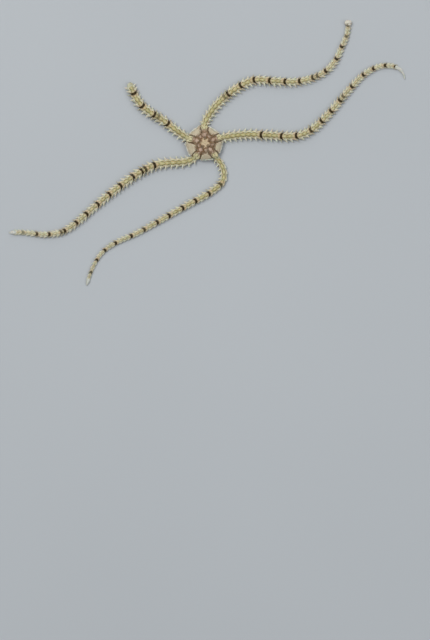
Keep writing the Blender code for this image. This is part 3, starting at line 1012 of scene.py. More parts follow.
@dataclass(frozen=True)
class SkinFinish(Finish):
    """The skin between the plates, with the same markings as they have."""

    back: Colour = shade(150, 140, 100)
    under: Colour = shade(170, 160, 152)
    mouth: Colour = shade(190, 150, 64)
    # painted shadow: the dark colour of the sunken pores stands in for the shade inside them
    pore_shadow: Colour = shade(84, 58, 50)
    disc: Colour = shade(170, 160, 134)
    speck: Colour = shade(148, 134, 132)

    def colour(self, web: Web, mottle: Socket) -> Look:
        """Arms and disc, then the underside, a painted shadow in the sunken pores, and the mouth."""
        marks = web.place("disc_marking", {"Plain": self.disc, "Mottle": mottle})
        arm = web.place("dark_ring", {"Plain": self.back})
        base = web.mix(web.reading("disc"), arm.outputs["Color"], marks.outputs["Color"])
        under = web.mix(web.times(mottle, 0.6), self.under, self.speck)
        # the pores' dark colour is a painted shadow
        for mark, colour in (("under", under), ("pore_shadow", self.pore_shadow), ("mouth", self.mouth)):
            base = web.mix(web.reading(mark), base, colour)
        return base, self.roughness


TOP_PLATE = PlateFinish("arm_top_plate", roughness=0.42, coat=0.08, subsurface=0.08)
SIDE_PLATE = SidePlateFinish("arm_side_plate", roughness=0.42, coat=0.1, subsurface=0.1)
SOLE_PLATE = SoleFinish("arm_sole_plate", roughness=0.5, subsurface=0.08)
SPINE = SpineFinish("glassy_spine", roughness=0.32, coat=0.2, subsurface=0.12, relief=0.15)
DISC_SCALE = DiscFinish("disc_scale", roughness=0.5, coat=0.05, subsurface=0.06)
DISC_PLATE = DiscFinish("disc_plate", roughness=0.45, coat=0.08, subsurface=0.06, rim=0.45)
FRILL = PlainFinish(
    "disc_frill", roughness=0.38, coat=0.12, subsurface=0.12, plain=shade(222, 218, 202),
    mottled=shade(192, 188, 170), rim=shade(236, 234, 224),
)
BUDS = {
    Bud.HEALED: BudFinish(
        Bud.HEALED.value, roughness=0.42, coat=0.1, subsurface=0.1, mottle=1000.0, plain=shade(230, 220, 204),
        mottled=shade(112, 88, 54), rim=shade(234, 226, 212), rim_share=0.2, stain=0.85,
    ),
    Bud.BLUNT: BudFinish(
        Bud.BLUNT.value, roughness=0.42, coat=0.1, subsurface=0.1, plain=shade(206, 201, 170),
        mottled=shade(160, 152, 108), rim=shade(222, 219, 200),
    ),
    Bud.CLEAR: BudFinish(
        Bud.CLEAR.value, roughness=0.4, coat=0.15, subsurface=0.1, plain=shade(216, 213, 202),
        mottled=shade(190, 185, 172), rim=shade(226, 224, 214),
    ),
}
UNDER_SCALE = PlainFinish("under_scale", roughness=0.5, subsurface=0.08)
SHIELD = PlainFinish(
    "mouth_shield", roughness=0.42, coat=0.08, subsurface=0.08, plain=shade(210, 200, 172),
    mottled=shade(196, 184, 152), rim=shade(186, 174, 138),
)
JAW = PlainFinish(
    "jaw", roughness=0.42, coat=0.1, subsurface=0.1, plain=shade(216, 190, 122), mottled=shade(200, 168, 96),
    rim=shade(184, 148, 74),
)
SKIN = SkinFinish("skin", roughness=0.5, coat=0.1, subsurface=0.06, relief=0.5)


@dataclass
class Disc:
    """The disc: its shape, its markings, its scales and shields."""

    sides: tuple[float, ...] = (7.7 * MM, 8.4 * MM, 7.5 * MM, 7.5 * MM, 7.2 * MM)
    corner: float = 8.6 * MM
    top: float = 4.2 * MM
    rim: float = 1.9 * MM
    under: float = 0.6 * MM
    rounding: float = 0.7
    inside: float = 0.12 * MM  # how deep the skin lies in the solid
    frill_reach: float = 0.4 * MM  # the frill's share of the disc's reach
    scale: float = 0.62 * MM  # spacing of the scales
    seed: int = 5
    rosiness: tuple[float, ...] = (0.85, 0.95, 1.0, 1.0, 0.7)  # of the large plate before each arm
    frill_tiers: tuple[Triple, ...] = (  # level over the rim, lean and spacing, in millimetres
        (0.28, 0.2, 0.74),
        (0.02, -0.05, 0.66),
        (-0.35, -0.5, 0.7),
    )
    frill_gap: float = 0.2  # share of the step between two arms that each arm keeps free of it
    frill_ring: float = 7.8  # millimetres from the centre at which its scales are counted
    rosette: tuple[tuple[float, bool, Triple], ...] = (  # distance out, whether towards an arm, and sizes
        (1.02, True, (0.52, 0.5, 0.15)),
        (1.25, False, (0.46, 0.5, 0.16)),
        (2.05, False, (0.42, 0.5, 0.17)),
        (3.1, False, (0.5, 0.48, 0.18)),
        (3.75, True, (0.86, 0.8, 0.2)),
        (5.15, True, (0.5, 0.46, 0.18)),
    )
    shield_out: float = 6.1  # middle of a radial shield, in millimetres from the centre
    shield_aside: float = 14.6  # and in degrees from its arm's way
    shield_sizes: Triple = (0.36, 1.3, 0.15)
    scale_patch: float = 0.0045  # sizes of the patches on the bake map
    plate_patch: float = 0.011
    small_patch: float = 0.004

    def reach(self, turn: Array) -> Array:
        """Centre of the disc to the edge of its skin, for ways as angles."""
        steps = ((turn - FIRST_ARM) % math.tau) / ARM_STEP
        side = np.array(self.sides)[np.floor(steps).astype(int) % len(self.sides)]
        straight = (side - self.frill_reach) / np.cos((steps % 1 - 0.5) * ARM_STEP)
        return np.minimum(straight, self.corner - self.frill_reach / 2)

    def height(self, flat: Array, back: bool) -> Array:
        """Height of the back or the underside.

        Args:
            flat: Rows of x and y from the disc's centre.
            back: Whether the back is meant, or the underside.

        Returns:
            Heights, at the rim's for places past the edge.
        """
        share = np.hypot(flat[..., 0], flat[..., 1]) / self.reach(np.arctan2(flat[..., 1], flat[..., 0]))
        lift = np.sqrt(np.clip(1 - np.clip(share, 0, 1) ** (2 / self.rounding), 0, 1))
        rise = self.top - self.inside - self.rim if back else self.under + self.inside - self.rim
        return self.rim + rise * lift

    def sides_of(self, flat: Array) -> tuple[Array, Array, Array, Array, Array]:
        """Where places are among the five arms.

        Args:
            flat: Rows of x and y from the disc's centre.

        Returns:
            In millimetres: distance out, along the nearest arm's way and beside it, and along the nearest way
            between two arms and beside that.
        """
        x, y = (flat[..., 0] / MM, flat[..., 1] / MM)
        x = x + 0.16 * np.sin(2.3 * y + 0.7) + 0.08 * np.sin(5.1 * y + 2.0 * x)
        y = y + 0.16 * np.sin(2.1 * x + 1.9) + 0.08 * np.sin(4.7 * x - 1.3 * y)
        out = np.hypot(x, y)
        steps = (np.arctan2(y, x) - FIRST_ARM) / ARM_STEP
        off = (steps - np.round(steps)) * ARM_STEP
        between = ARM_STEP / 2 - np.abs(off)
        return out, out * np.cos(off), np.abs(out * np.sin(off)), out * np.cos(between), out * np.sin(between)

    def marks(self, flat: Array) -> dict[str, Array]:
        """The markings of the back.

        Each starts and ends at so many millimetres out, along or beside an arm's way or the way between two.

        Args:
            flat: Rows of x and y from the disc's centre.

        Returns:
            How strong each mark is there, from 0 to 1.
        """
        out, ahead, aside, far, beside = self.sides_of(flat)
        petal = fade(far, 2.15, 1.7) * fade(beside, 0.62, 0.34)
        pale = np.maximum(fade(out, 1.35, 0.95), petal)
        wedge = fade(far, 4.3, 5.0) * fade(beside - 0.95 * (far - 4.0), 0.35, -0.1)
        lines = fade(np.abs(aside - 1.5), 0.48, 0.2) * fade(ahead, 3.7, 4.3) * fade(ahead, 8.4, 7.6)
        strip = fade(aside, 1.6, 1.2) * fade(ahead, 4.2, 4.6) * fade(ahead, 7.0, 6.2)
        net = fade(out, 0.9, 1.3) * fade(out, 5.9, 5.0) * (1 - wedge)
        patch = np.maximum(oval(ahead - 2.3, aside, (0.55, 0.7)), oval(far - 3.95, beside, (0.4, 0.8)))
        corners = oval(ahead - 3.0, aside - 1.15, (0.5, 0.4))
        dark = np.maximum.reduce([lines, patch * 0.85, corners * 0.75]) * (1 - pale)
        steps = (np.arctan2(flat[..., 1], flat[..., 0]) - FIRST_ARM) / ARM_STEP
        nearest = np.round(steps).astype(int) % ARM_COUNT
        rose = np.maximum.reduce(
            [
                oval(ahead - 3.75, aside, (0.85, 0.8)) * np.array(self.rosiness)[nearest],
                oval(far - 3.1, beside, (0.45, 0.5)) * 0.7,
                oval(ahead - 5.15, aside, (0.35, 0.4)) * 0.8,
            ]
        )
        yolk = fade(ahead, 5.8, 6.5) * fade(aside, 1.6, 1.2)
        return {
            "net": np.maximum(net, strip * 0.6),
            "dark": np.clip(dark, 0, 1),
            "rose": rose * (1 - lines),
            "yolk": yolk,
            "pale": pale,
        }

    def pores(self, flat: Array) -> Array:
        """How far places of the underside are in one of the pairs of pores between the arms, where the skin
        is sunk and darkened with a painted shadow.
        """
        _, _, _, far, beside = self.sides_of(flat)
        return oval(far - 5.15, beside - 1.03, (0.42, 0.36))

    def standing(self, x: float, y: float, back: bool) -> tuple[Vector, Vector]:
        """A place on the disc's skin and the way out of it there.

        Args:
            x: From the disc's centre.
            y: From the disc's centre.
            back: Whether it is on the back or the underside.

        Returns:
            The place in the frame, and a unit vector.
        """
        step = 0.05 * MM
        flat = np.array([(x, y), (x + step, y), (x, y + step)])
        levels = self.height(flat, back)
        normal = Vector((levels[0] - levels[1], levels[0] - levels[2], step)).normalized()
        place = DISC_CENTRE + Vector((x, y, levels[0]))
        return place, normal if back else -normal

    def seat(self, x: float, y: float, back: bool, sizes: Triple, tilt: float, sunk: float = 0.0) -> Array:
        """A matrix that lays a plate on the disc, its y pointing away from the centre.

        Args:
            x: From the disc's centre.
            y: From the disc's centre.
            back: Whether it lies on the back or the underside.
            sizes: What one unit is across, outwards and up.
            tilt: How far its outer edge is lifted, as an angle.
            sunk: How far it is lowered.

        Returns:
            Four rows of four.
        """
        place, normal = self.standing(x, y, back)
        outward = Vector((x, y, 0))
        outward = (outward - outward.project(normal)).normalized()
        across = outward.cross(normal)
        outward, normal = (
            outward * math.cos(tilt) + normal * math.sin(tilt),
            normal * math.cos(tilt) - outward * math.sin(tilt),
        )
        columns = [way * size for way, size in zip((across, outward, normal), sizes)]
        matrix = seated(columns, place)
        matrix[2, 3] -= sunk
        return matrix

    def spots(self, spacing: float, nearest: float) -> list[Span]:
        """Places in rings round the disc's centre, a little scattered."""
        draw = random.Random(self.seed)
        found = []
        ring = nearest
        while ring < self.corner:
            count = max(int(math.tau * ring / spacing), 5)
            start = draw.random()
            for index in range(count):
                turn = math.tau * (index + start) / count + draw.uniform(-0.12, 0.12) * spacing / ring
                out = ring + draw.uniform(-0.14, 0.14) * spacing
                if out < self.reach(np.array(turn)) - 0.1 * MM:
                    found.append((out * math.cos(turn), out * math.sin(turn)))
            ring += spacing * 0.86
        return found

    def lay(
        self, coat: Coat, stamp: Stamp, matrix: Array, back: bool, patch: float, tone: float, even: bool
    ) -> None:
        """Sets one plate on the disc with the marks that it carries.

        Args:
            coat: Where it goes.
            stamp: Its shape.
            matrix: Its seat.
            back: Whether it is on the back.
            patch: Size of its patch on the bake map.
            tone: How light it is, from 0 to 1.
            even: Whether it has the marks of its middle all over.
        """
        places = stamp.laid(matrix)
        if even:
            places = np.broadcast_to(matrix[:3, 3], places.shape)
        values = self.marks(from_centre(places)) if back else {}
        coat.place(stamp, matrix, SHEET.disc(matrix[:3, 3], back), patch, tone=tone, **values)

    def build(self) -> None:
        """Makes the scales, plates and frill of the back and the scales of the underside."""
        self.build_scales()
        self.build_plates()
        self.build_frill()
        self.build_underside()

    def build_scales(self) -> None:
        """The small scales that overlap all over the back."""
        coat = Coat("disc_scales")
        draw = random.Random(self.seed + 1)
        stamp = Stamp.button(8)
        for x, y in self.spots(self.scale, 0.9 * MM):
            _, ahead, aside, far, beside = self.sides_of(np.array((x, y)))
            plated = ahead > 5.9 and aside < min(0.35 + 0.7 * (ahead - 5.9), 1.3)
            if plated or float(oval(ahead - 5.9, aside - 1.55, (1.3, 0.4))) > 0.5:
                continue
            size = self.scale * draw.uniform(0.6, 0.78) * (1.1 if far > 4.5 and beside < 2 else 1)
            sizes = (size * draw.uniform(0.9, 1.15), size, 0.13 * MM)
            matrix = self.seat(x, y, True, sizes, math.radians(draw.uniform(5, 12)), 0.05 * MM)
            self.lay(coat, stamp, matrix, True, self.scale_patch, draw.random(), True)
        coat.piece(DISC_SCALE.material(), Slot.DISC)

    def build_plates(self) -> None:
        """The rosette in the middle, the larger plates round it, and the arms' radial shields."""
        coat = Coat("disc_plates")
        draw = random.Random(self.seed + 2)
        stamp = Stamp.button(14, 0.35)

        def set_down(out: float, turn: float, sizes: Triple, even: bool = False) -> None:
            """One plate that far from the centre, that way, in millimetres."""
            x, y = out * MM * math.cos(turn), out * MM * math.sin(turn)
            scaled = tuple(size * MM for size in sizes)
            matrix = self.seat(x, y, True, scaled, math.radians(3), 0.04 * MM)
            self.lay(coat, stamp, matrix, True, self.plate_patch, draw.random(), even)

        set_down(0.02, FIRST_ARM, (0.62, 0.62, 0.15))
        for arm in range(ARM_COUNT):
            ahead = FIRST_ARM + arm * ARM_STEP
            for out, towards_arm, sizes in self.rosette:
                set_down(out, ahead if towards_arm else ahead + ARM_STEP / 2, sizes)
            for side in Side:
                turn = ahead + side.value * math.radians(self.shield_aside)
                set_down(self.shield_out, turn, self.shield_sizes, True)
        coat.piece(DISC_PLATE.material(), Slot.DISC)

    def build_frill(self) -> None:
        """The thin clear scales that stand out round the edge between the arms."""
        coat = Coat("disc_frill")
        draw = random.Random(self.seed + 3)
        stamp = Stamp.button(8)
        for tier, (level, lift, spacing) in enumerate(self.frill_tiers):
            count = int(math.tau * self.frill_ring / spacing)
            for index in range(count):
                turn = math.tau * (index + 0.37 * tier) / count
                steps = (turn - FIRST_ARM) / ARM_STEP
                if abs(steps - round(steps)) < self.frill_gap:
                    continue
                out = float(self.reach(np.array(turn))) + draw.uniform(-0.1, 0.12) * MM
                way, across = ways_at(turn)
                leaning = (way + UP * (lift + draw.uniform(-0.12, 0.12))).normalized()
                columns = (
                    across * spacing * draw.uniform(0.5, 0.62) * MM,
                    leaning * draw.uniform(0.42, 0.72) * MM,
                    across.cross(leaning) * 0.07 * MM,
                )
                matrix = seated(columns, DISC_CENTRE + way * out + UP * (self.rim + level * MM))
                bake = SHEET.disc(matrix[:3, 3], True)
                coat.place(stamp, matrix, bake, self.small_patch, tone=draw.random())
        coat.piece(FRILL.material(), Slot.DISC)

    def build_underside(self) -> None:
        """The smaller greyish scales between the arms under the disc."""
        coat = Coat("disc_under_scales")
        draw = random.Random(self.seed + 4)
        stamp = Stamp.button(7)
        for x, y in self.spots(0.55 * MM, 3.6 * MM):
            _, _, aside, far, beside = self.sides_of(np.array((x, y)))
            shield = float(oval(far - 4.2, beside, (1.35, 1.25)))
            if aside < 1.4 or shield > 0.3 or self.pores(np.array((x, y))) > 0.2:
                continue
            size = 0.38 * MM * draw.uniform(0.85, 1.15)
            matrix = self.seat(x, y, False, (size, size, 0.09 * MM), math.radians(7))
            self.lay(coat, stamp, matrix, False, self.small_patch, draw.random(), True)
        coat.piece(UNDER_SCALE.material(), Slot.DISC)


@dataclass
class OnArms:
    """Where points are on the arms.

    Each has the number of its arm, its distance along that arm, and its turn round it in degrees from the
    middle of the sole. The marks are those of the dark rings.
    """

    arm: Array
    distance: Array
    turn: Array
    marks: dict[str, Array]


@dataclass
class Skin:
    """The one skin of the disc and the arms, under the plates."""

    disc: Disc
    bodies: list[ArmBody]
    inset: float = 0.08  # share of the arm's half width that the plates take
    waist: float = 0.86
    rings: float = 0.45 * MM
    around: int = 20
    voxel: float = 0.24 * MM
    mouth: float = 2.75 * MM
    mouth_roof: float = 1.4 * MM
    pore_depth: float = 0.4 * MM
    base_level: float = 1.5 * MM  # below it the skin past base_reach is the arms'
    base_reach: float = 7.6 * MM
    hollow_level: float = 1.6 * MM  # only what is lower is raised for the mouth
    mouth_level: float = 2.2 * MM  # only what is lower has the mouth's colour

    def build(self) -> None:
        """Makes the skin, which stands for the disc and all the lengths of the arms."""
        bm = bmesh.new()
        self.add_disc(bm)
        for body in self.bodies:
            self.add_arm(bm, body)
        mesh = self.remesh(bm)
        self.hollow_underside(mesh)
        self.mark(mesh)
        skin = finish_piece("skin", mesh, SKIN.material(), Slot.ARM)
        nodes = [node for body in self.bodies for node in body.plan.nodes()]
        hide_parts("disc", *nodes)

    def add_disc(self, bm: bmesh.types.BMesh) -> None:
        """A globe reshaped to the disc's cushion."""
        made = bmesh.ops.create_uvsphere(bm, u_segments=80, v_segments=24, radius=1)
        bmesh.ops.rotate(bm, verts=made["verts"], matrix=Matrix.Rotation(FIRST_ARM, 3, "Z"))
        for vert in made["verts"]:
            across = math.hypot(vert.co.x, vert.co.y)
            turn = math.atan2(vert.co.y, vert.co.x)
            out = float(self.disc.reach(np.array(turn))) * across**self.disc.rounding
            inside = self.disc.inside
            rise = self.disc.top - inside - self.disc.rim
            if vert.co.z < 0:
                rise = self.disc.rim - self.disc.under - inside
            level = self.disc.rim + rise * vert.co.z
            vert.co = DISC_CENTRE + Vector((out * math.cos(turn), out * math.sin(turn), level))

    def add_arm(self, bm: bmesh.types.BMesh, body: ArmBody) -> None:
        """A grid rolled up along the arm, wide and narrow with its joints, and closed at both ends."""
        count = int((body.route.length - 2 * MM) / self.rings)
        made = bmesh.ops.create_grid(bm, x_segments=count, y_segments=self.around, size=0.5)
        verts = made["verts"]
        flat = np.array([vert.co[:2] for vert in verts]) + 0.5
        distance = 2 * MM + (body.route.length - 2 * MM) * flat[:, 0]
        starts = np.array([joint.start for joint in body.joints])
        index = np.clip(np.searchsorted(starts, distance) - 1, 0, len(starts) - 1)
        pitch = np.array([joint.pitch for joint in body.joints])[index]
        run = np.clip((distance - starts[index]) / pitch, 0, 1)
        bulge = self.waist + (1 - self.waist) * np.sin(np.pi * run**1.4)
        share = np.where(flat[:, 0] < 1e-6, 0.0, bulge * (1 - self.inset))
        places = body.end_places(distance, 360 * flat[:, 1] - 90, share)
        for vert, place in zip(verts, places):
            vert.co = place
        bmesh.ops.remove_doubles(bm, verts=verts, dist=MERGE)
        open_edges = [edge for edge in bm.edges if edge.is_boundary]
        if open_edges:
            bmesh.ops.holes_fill(bm, edges=open_edges, sides=0)

    def remesh(self, bm: bmesh.types.BMesh) -> bpy.types.Mesh:
        """All of it as one even closed surface.

        Args:
            bm: Closed shapes that run into each other, which are freed.

        Returns:
            The joined mesh.
        """
        bmesh.ops.recalc_face_normals(bm, faces=bm.faces)
        mesh = bpy.data.meshes.new("skin_draft")
        bm.to_mesh(mesh)
        bm.free()
        draft = add_object("skin_draft", mesh)
        voxels = draft.modifiers.new("one_skin", "REMESH")
        voxels.mode = "VOXEL"
        voxels.voxel_size = self.voxel
        evaluated = draft.evaluated_get(bpy.context.evaluated_depsgraph_get())
        joined = bpy.data.meshes.new_from_object(evaluated)
        bpy.data.objects.remove(draft)
        joined.name = "skin"
        smooth = bmesh.new()
        smooth.from_mesh(joined)
        for _ in range(2):
            bmesh.ops.smooth_vert(
                smooth, verts=smooth.verts, factor=0.4, use_axis_x=True, use_axis_y=True, use_axis_z=True
            )
        smooth.to_mesh(joined)
        smooth.free()
        return joined

    def hollow_underside(self, mesh: bpy.types.Mesh) -> None:
        """Raises the skin under the disc's middle to the roof of the mouth, and sinks the pores."""
        places = read_numbers(mesh.vertices, "co", width=3)
        flat = from_centre(places)
        out = np.hypot(flat[:, 0], flat[:, 1])
        low = places[:, 2] < self.hollow_level
        lift = fade(out, self.mouth, self.mouth - 0.35 * MM) * (self.mouth_roof - places[:, 2])
        places[:, 2] += np.where(low, np.maximum(lift, 0) + self.disc.pores(flat) * self.pore_depth, 0)
        mesh.vertices.foreach_set("co", places.ravel())
        mesh.update()

    def mark(self, mesh: bpy.types.Mesh) -> None:
        """Gives the skin its markings and its place on the bake map."""
        places = read_numbers(mesh.vertices, "co", width=3)
        on_arms = self.find_on_arms(places)
        flat = from_centre(places)
        out = np.hypot(flat[:, 0], flat[:, 1])
        reach = self.disc.reach(np.arctan2(flat[:, 1], flat[:, 0]))
        in_disc = (out < reach) & ((places[:, 2] > self.base_level) | (out < self.base_reach))
        level = read_numbers(mesh.vertices, "normal", width=3)[:, 2]
        values = self.disc.marks(flat) | on_arms.marks
        values["disc"] = fade(out - reach, 0.5 * MM, -0.5 * MM)
        values["under"] = np.where(out < reach, fade(level, 0.05, -0.35), fade(level, -0.1, -0.7))
        near = fade(out, self.mouth + 0.1 * MM, self.mouth - 0.25 * MM)
        values["mouth"] = near * (places[:, 2] < self.mouth_level)
        # painted shadow: marks the sunken pores of the underside, which the skin colours dark
        values["pore_shadow"] = self.disc.pores(flat) * values["under"]
        for name, numbers in values.items():
            write_numbers(mesh, name, numbers)
        self.unwrap(mesh, places, in_disc, level > 0, on_arms)

    def find_on_arms(self, places: Array) -> OnArms:
        """Where the skin's points, as rows of x, y and z, are on the arms."""
        tree = KDTree(sum(len(body.route.places) for body in self.bodies))
        origins = []
        for body in self.bodies:
            for step, place in enumerate(body.route.places):
                tree.insert((*place, 0), len(origins))
                origins.append((body.plan.corner, step))
        tree.balance()
        found = np.array([origins[tree.find((x, y, 0))[1]] for x, y, _ in places])
        distance, turn, ring, band = np.zeros((4, len(places)))
        marks = {"ring": ring, "band": band}
        for body in self.bodies:
            mine = np.nonzero(found[:, 0] == body.plan.corner)[0]
            start = body.route.reaches[found[mine, 1]]
            way = body.route.heading(start)
            off = places[mine, :2] - body.route.at(start)
            along = start + (off * way).sum(axis=1)
            half = body.half_at(along)
            aside = off[:, 1] * way[:, 0] - off[:, 0] * way[:, 1]
            distance[mine] = along
            turn[mine] = (np.degrees(np.arctan2(places[mine, 2] - body.middle * half, aside)) + 90) % 360
            for name, numbers in body.ring_marks(along, aside / half, body.pitch_at(along)).items():
                marks[name][mine] = numbers
        return OnArms(found[:, 0], distance, turn, marks)

    def unwrap(
        self, mesh: bpy.types.Mesh, places: Array, in_disc: Array, back: Array, on_arms: OnArms
    ) -> None:
        """Lays the skin's faces on the bake map, each whole on one strip or round.

        Args:
            mesh: The skin.
            places: Its points.
            in_disc: Which points belong to the disc.
            back: Which points face up.
            on_arms: Where its points are on the arms.
        """
        corners = read_numbers(mesh.loops, "vertex_index", np.int64)
        sizes = read_numbers(mesh.polygons, "loop_total", np.int64)
        starts = np.concatenate(([0], np.cumsum(sizes)[:-1]))
        face = np.repeat(np.arange(len(sizes)), sizes)
        first = corners[starts][face]
        mixed = np.zeros(len(sizes), bool)
        np.logical_or.at(mixed, face, in_disc[corners] | (on_arms.arm[corners] != on_arms.arm[first]))
        on_disc = mixed[face]
        upper = back[first]
        uv = np.zeros((len(corners), 2))
        for side in (True, False):
            chosen = on_disc & (upper == side)
            uv[chosen] = SHEET.disc(places[corners[chosen]], side)
        turn = on_arms.turn
        near = turn[corners] - 360 * np.round((turn[corners] - turn[first]) / 360)
        for body in self.bodies:
            chosen = ~on_disc & (on_arms.arm[first] == body.plan.corner)
            distance = on_arms.distance[corners[chosen]]
            uv[chosen] = SHEET.arm(body.plan.corner, distance, near[chosen])
        write_map(mesh, "OFBake", uv)


@dataclass(frozen=True)
class SpineRow:
    """One of the rows of spines along an arm's side.

    The turn is its place round the arm, and the lift and the swing are its lean, in degrees. The length and
    the width are shares of the usual ones.
    """

    turn: float
    lift: float
    length: float
    width: float
    swing: float


@dataclass
class ArmPlates:
    """The plates and spines of one arm."""

    body: ArmBody
    disc: Disc
    rows: tuple[SpineRow, ...] = (
        SpineRow(36, 24, 0.88, 0.66, -7),
        SpineRow(12, 6, 1.0, 1.0, 0),
        SpineRow(-16, -7, 0.86, 0.7, 6),
    )
    spine_length: float = 1.5 * MM
    spine_thinning: float = 0.5  # below 1 the spines shorten less than the arm thins
    least_spine: float = 0.8 * MM
    spine_root: float = 0.86 * MM  # half a spine's width along the arm at its root
    spine_thickness: float = 0.32  # how thick it is against that width
    least_root: float = 0.32 * MM
    spine_curl: float = 0.2  # how far a spine's tip bends towards the arm's end, against its length
    angles: Span = (80, 33)  # spines from the arm's line, at the disc and at the tip
    spine_at: float = 0.84
    spine_profile: tuple[Span, ...] = (
        (0, 1.0), (0.14, 0.8), (0.28, 0.58), (0.46, 0.39), (0.67, 0.25), (0.88, 0.13), (1, 0.02),
    )
    spine_root_depth: float = -0.1  # of its foot, as a share of the way from the arm's middle
    spine_foot: float = 0.14  # what that adds to its length, in half widths
    spine_scatter: Triple = (6, 4, 0.1)  # of its swing and lift in degrees, and of its length
    spine_level: float = 0.06 * MM  # least height of its tip
    greyed_ring: Span = (-1.2, 0.9)  # millimetres round a ring's line in which a spine is greyed
    root_joints: tuple[float, ...] = (3.1 * MM, 4.3 * MM, 5.7 * MM, 7.3 * MM, STUB_END)
    first_fan: Span = (5.9 * MM, 7.3 * MM)  # the joint whose fan lies on the disc's back
    climb_end: float = 11 * MM  # fans before it are lifted on to the disc
    end_spacing: float = 0.44 * MM
    end_depth: float = 0.93  # how far out its scales lie, as a share of the arm's width
    end_turns: Span = (-35, 250)  # where a row of them starts, and how far round it runs
    plate_patch: float = 0.016
    small_patch: float = 0.003

    def joints(self, under_disc: bool) -> list[Joint]:
        """The arm's joints, with or without those under the disc."""
        ends = self.root_joints if under_disc else self.root_joints[-2:]
        roots = [Joint(start, end, 0.5) for start, end in zip(ends, ends[1:])]
        reach = self.body.plan.end[0][0] * MM
        last = self.body.route.length - max(0.8 * reach, reach - 0.6 * MM)
        return roots + [joint for joint in self.body.joints if joint.end < last]

    def build(self) -> None:
        """Makes the arm's pieces."""
        self.build_top()
        self.build_sides()
        self.build_sole()
        self.build_spines()
        self.build_end()

    def narrowed(self, joint: Joint, stamp: Stamp) -> Stamp:
        """The same shape with its upper part drawn to the back's middle, more so towards the arm's tip."""
        draw_in = 0.36 * (joint.start / self.body.plan.grown) ** 1.5
        return stamp.wrapped(
            lambda turn, run, depth: (turn + (90 - turn) * draw_in * (turn > 25), run, depth)
        )

    def patch(self, distance: float, turn: float) -> Array:
        """The middle of a shape's patch on the bake map."""
        return SHEET.arm(self.body.plan.corner, distance, turn)

    def drape(self, joint: Joint, stamp: Stamp, mirrored: bool = False) -> tuple[Array, dict[str, Array]]:
        """Lays a shape on the arm.

        Args:
            joint: The joint that it belongs to.
            stamp: The shape, whose points are a turn in degrees, a run along the joint and a depth.
            mirrored: Whether it goes on the other side.

        Returns:
            The places of its points, and the marks there.
        """
        turn, run, depth = stamp.places.T
        turn = 180 - turn if mirrored else turn
        distance = joint.along(run)
        places = self.body.points(distance, turn, depth)
        across = np.cos(np.radians(turn))
        marks = self.body.ring_marks(distance, across, joint.pitch)
        marks["share"] = distance / self.body.plan.grown
        marks["tone"] = joint.tone
        return places, marks

    def climb(self, joint: Joint, stamp: Stamp, places: Array) -> Array:
        """Lifts a shape near the disc on to the disc's back."""
        flat = from_centre(places)
        turn, run, _ = stamp.places.T
        plain = self.body.points(joint.along(run), turn, np.zeros(len(turn)))
        out = np.hypot(flat[:, 0], flat[:, 1])
        edge = self.disc.reach(np.arctan2(flat[:, 1], flat[:, 0]))
        ground = np.where(out < edge, self.disc.height(flat, True), 0)
        lifted = places.copy()
        lifted[:, 2] += np.maximum(ground + 0.15 * MM - plain[:, 2], 0)
        return lifted

    def build_top(self) -> None:
        """The fan-shaped plates of the back, each over the narrow end of the next."""
        coat = Coat(f"{self.body.plan.name}_top_plates")

        def fan(u: Array, v: Array, w: Array) -> tuple[Array, Array, Array]:
            """A narrow end towards the disc and a wide round edge towards the tip."""
            lean = 2 * u - 1
            spread = (6 + 41 * v**0.8) * (1 - 0.18 * fade(v, 0.82, 1.0))
            run = -0.22 + v * (1.22 - 0.24 * lean**2 * v)
            hill = 0.03 * np.cos(lean * math.pi / 2) * np.sin(math.pi * v**1.2)
            upper = 0.02 + 0.045 * v - 0.03 * np.abs(lean) ** 5 - 0.02 * fade(v, 0.85, 1.0) + hill
            return 90 + spread * lean, run, np.where(w > 0.5, upper, upper - 0.11)

        stamp = Stamp.slab(8, 7).wrapped(fan)
        for joint in [Joint(*self.first_fan, 0.6), *self.joints(False)]:
            fitted = self.narrowed(joint, stamp)
            places, marks = self.drape(joint, fitted)
            if joint.start < self.climb_end:
                places = self.climb(joint, fitted, places)
            coat.add(stamp, places, self.patch(joint.along(0.45), 180), self.plate_patch, **marks)
        coat.piece(TOP_PLATE.material(), Slot.ARM)

    def build_sides(self) -> None:
        """The side plates, which flare out where they carry the spines."""
        coat = Coat(f"{self.body.plan.name}_side_plates")

        def cheek(u: Array, v: Array, w: Array) -> tuple[Array, Array, Array]:
            """From under the sole at u = 0 up to the fan's edge at u = 1."""
            top = 83 - 33 * v**0.8 - 6 * fade(v, 0.8, 1.0)
            low = -58 + 10 * fade(v, 0.8, 1.0)
            turn = low + (top - low) * u
            across = np.cos(np.radians(turn))
            run = -0.14 + 1.1 * v + 0.06 * across**2
            flare = fade(v, 0.1, 0.78) * (1 - 0.8 * fade(v, 0.82, 1.0))
            side = np.exp(-(((turn - 10) / 40) ** 2))
            upper = -0.06 + 0.22 * flare * side + 0.07 * v - 0.03 * fade(np.abs(u - 0.5), 0.4, 0.5)
            return turn, run, np.where(w > 0.5, upper, upper - 0.12)

        stamp = Stamp.slab(8, 7).wrapped(cheek)
        low = stamp.wrapped(lambda turn, run, depth: (-58 + (turn + 58) * 0.3, run, depth * 0.5))
        for joint in self.joints(True):
            hidden = joint.end < self.root_joints[-1]
            fitted = low if hidden else self.narrowed(joint, stamp)
            for side in Side:
                mirrored = side is Side.RIGHT
                places, marks = self.drape(joint, fitted, mirrored)
                bake = self.patch(joint.along(0.5), 180 - 90 * side.value)
                coat.add(stamp, places, bake, self.plate_patch, mirrored, **marks)
        coat.piece(SIDE_PLATE.material(), Slot.ARM)

    def build_sole(self) -> None:
        """The plates of the underside and the small scales beside them."""
        coat = Coat(f"{self.body.plan.name}_sole_plates")

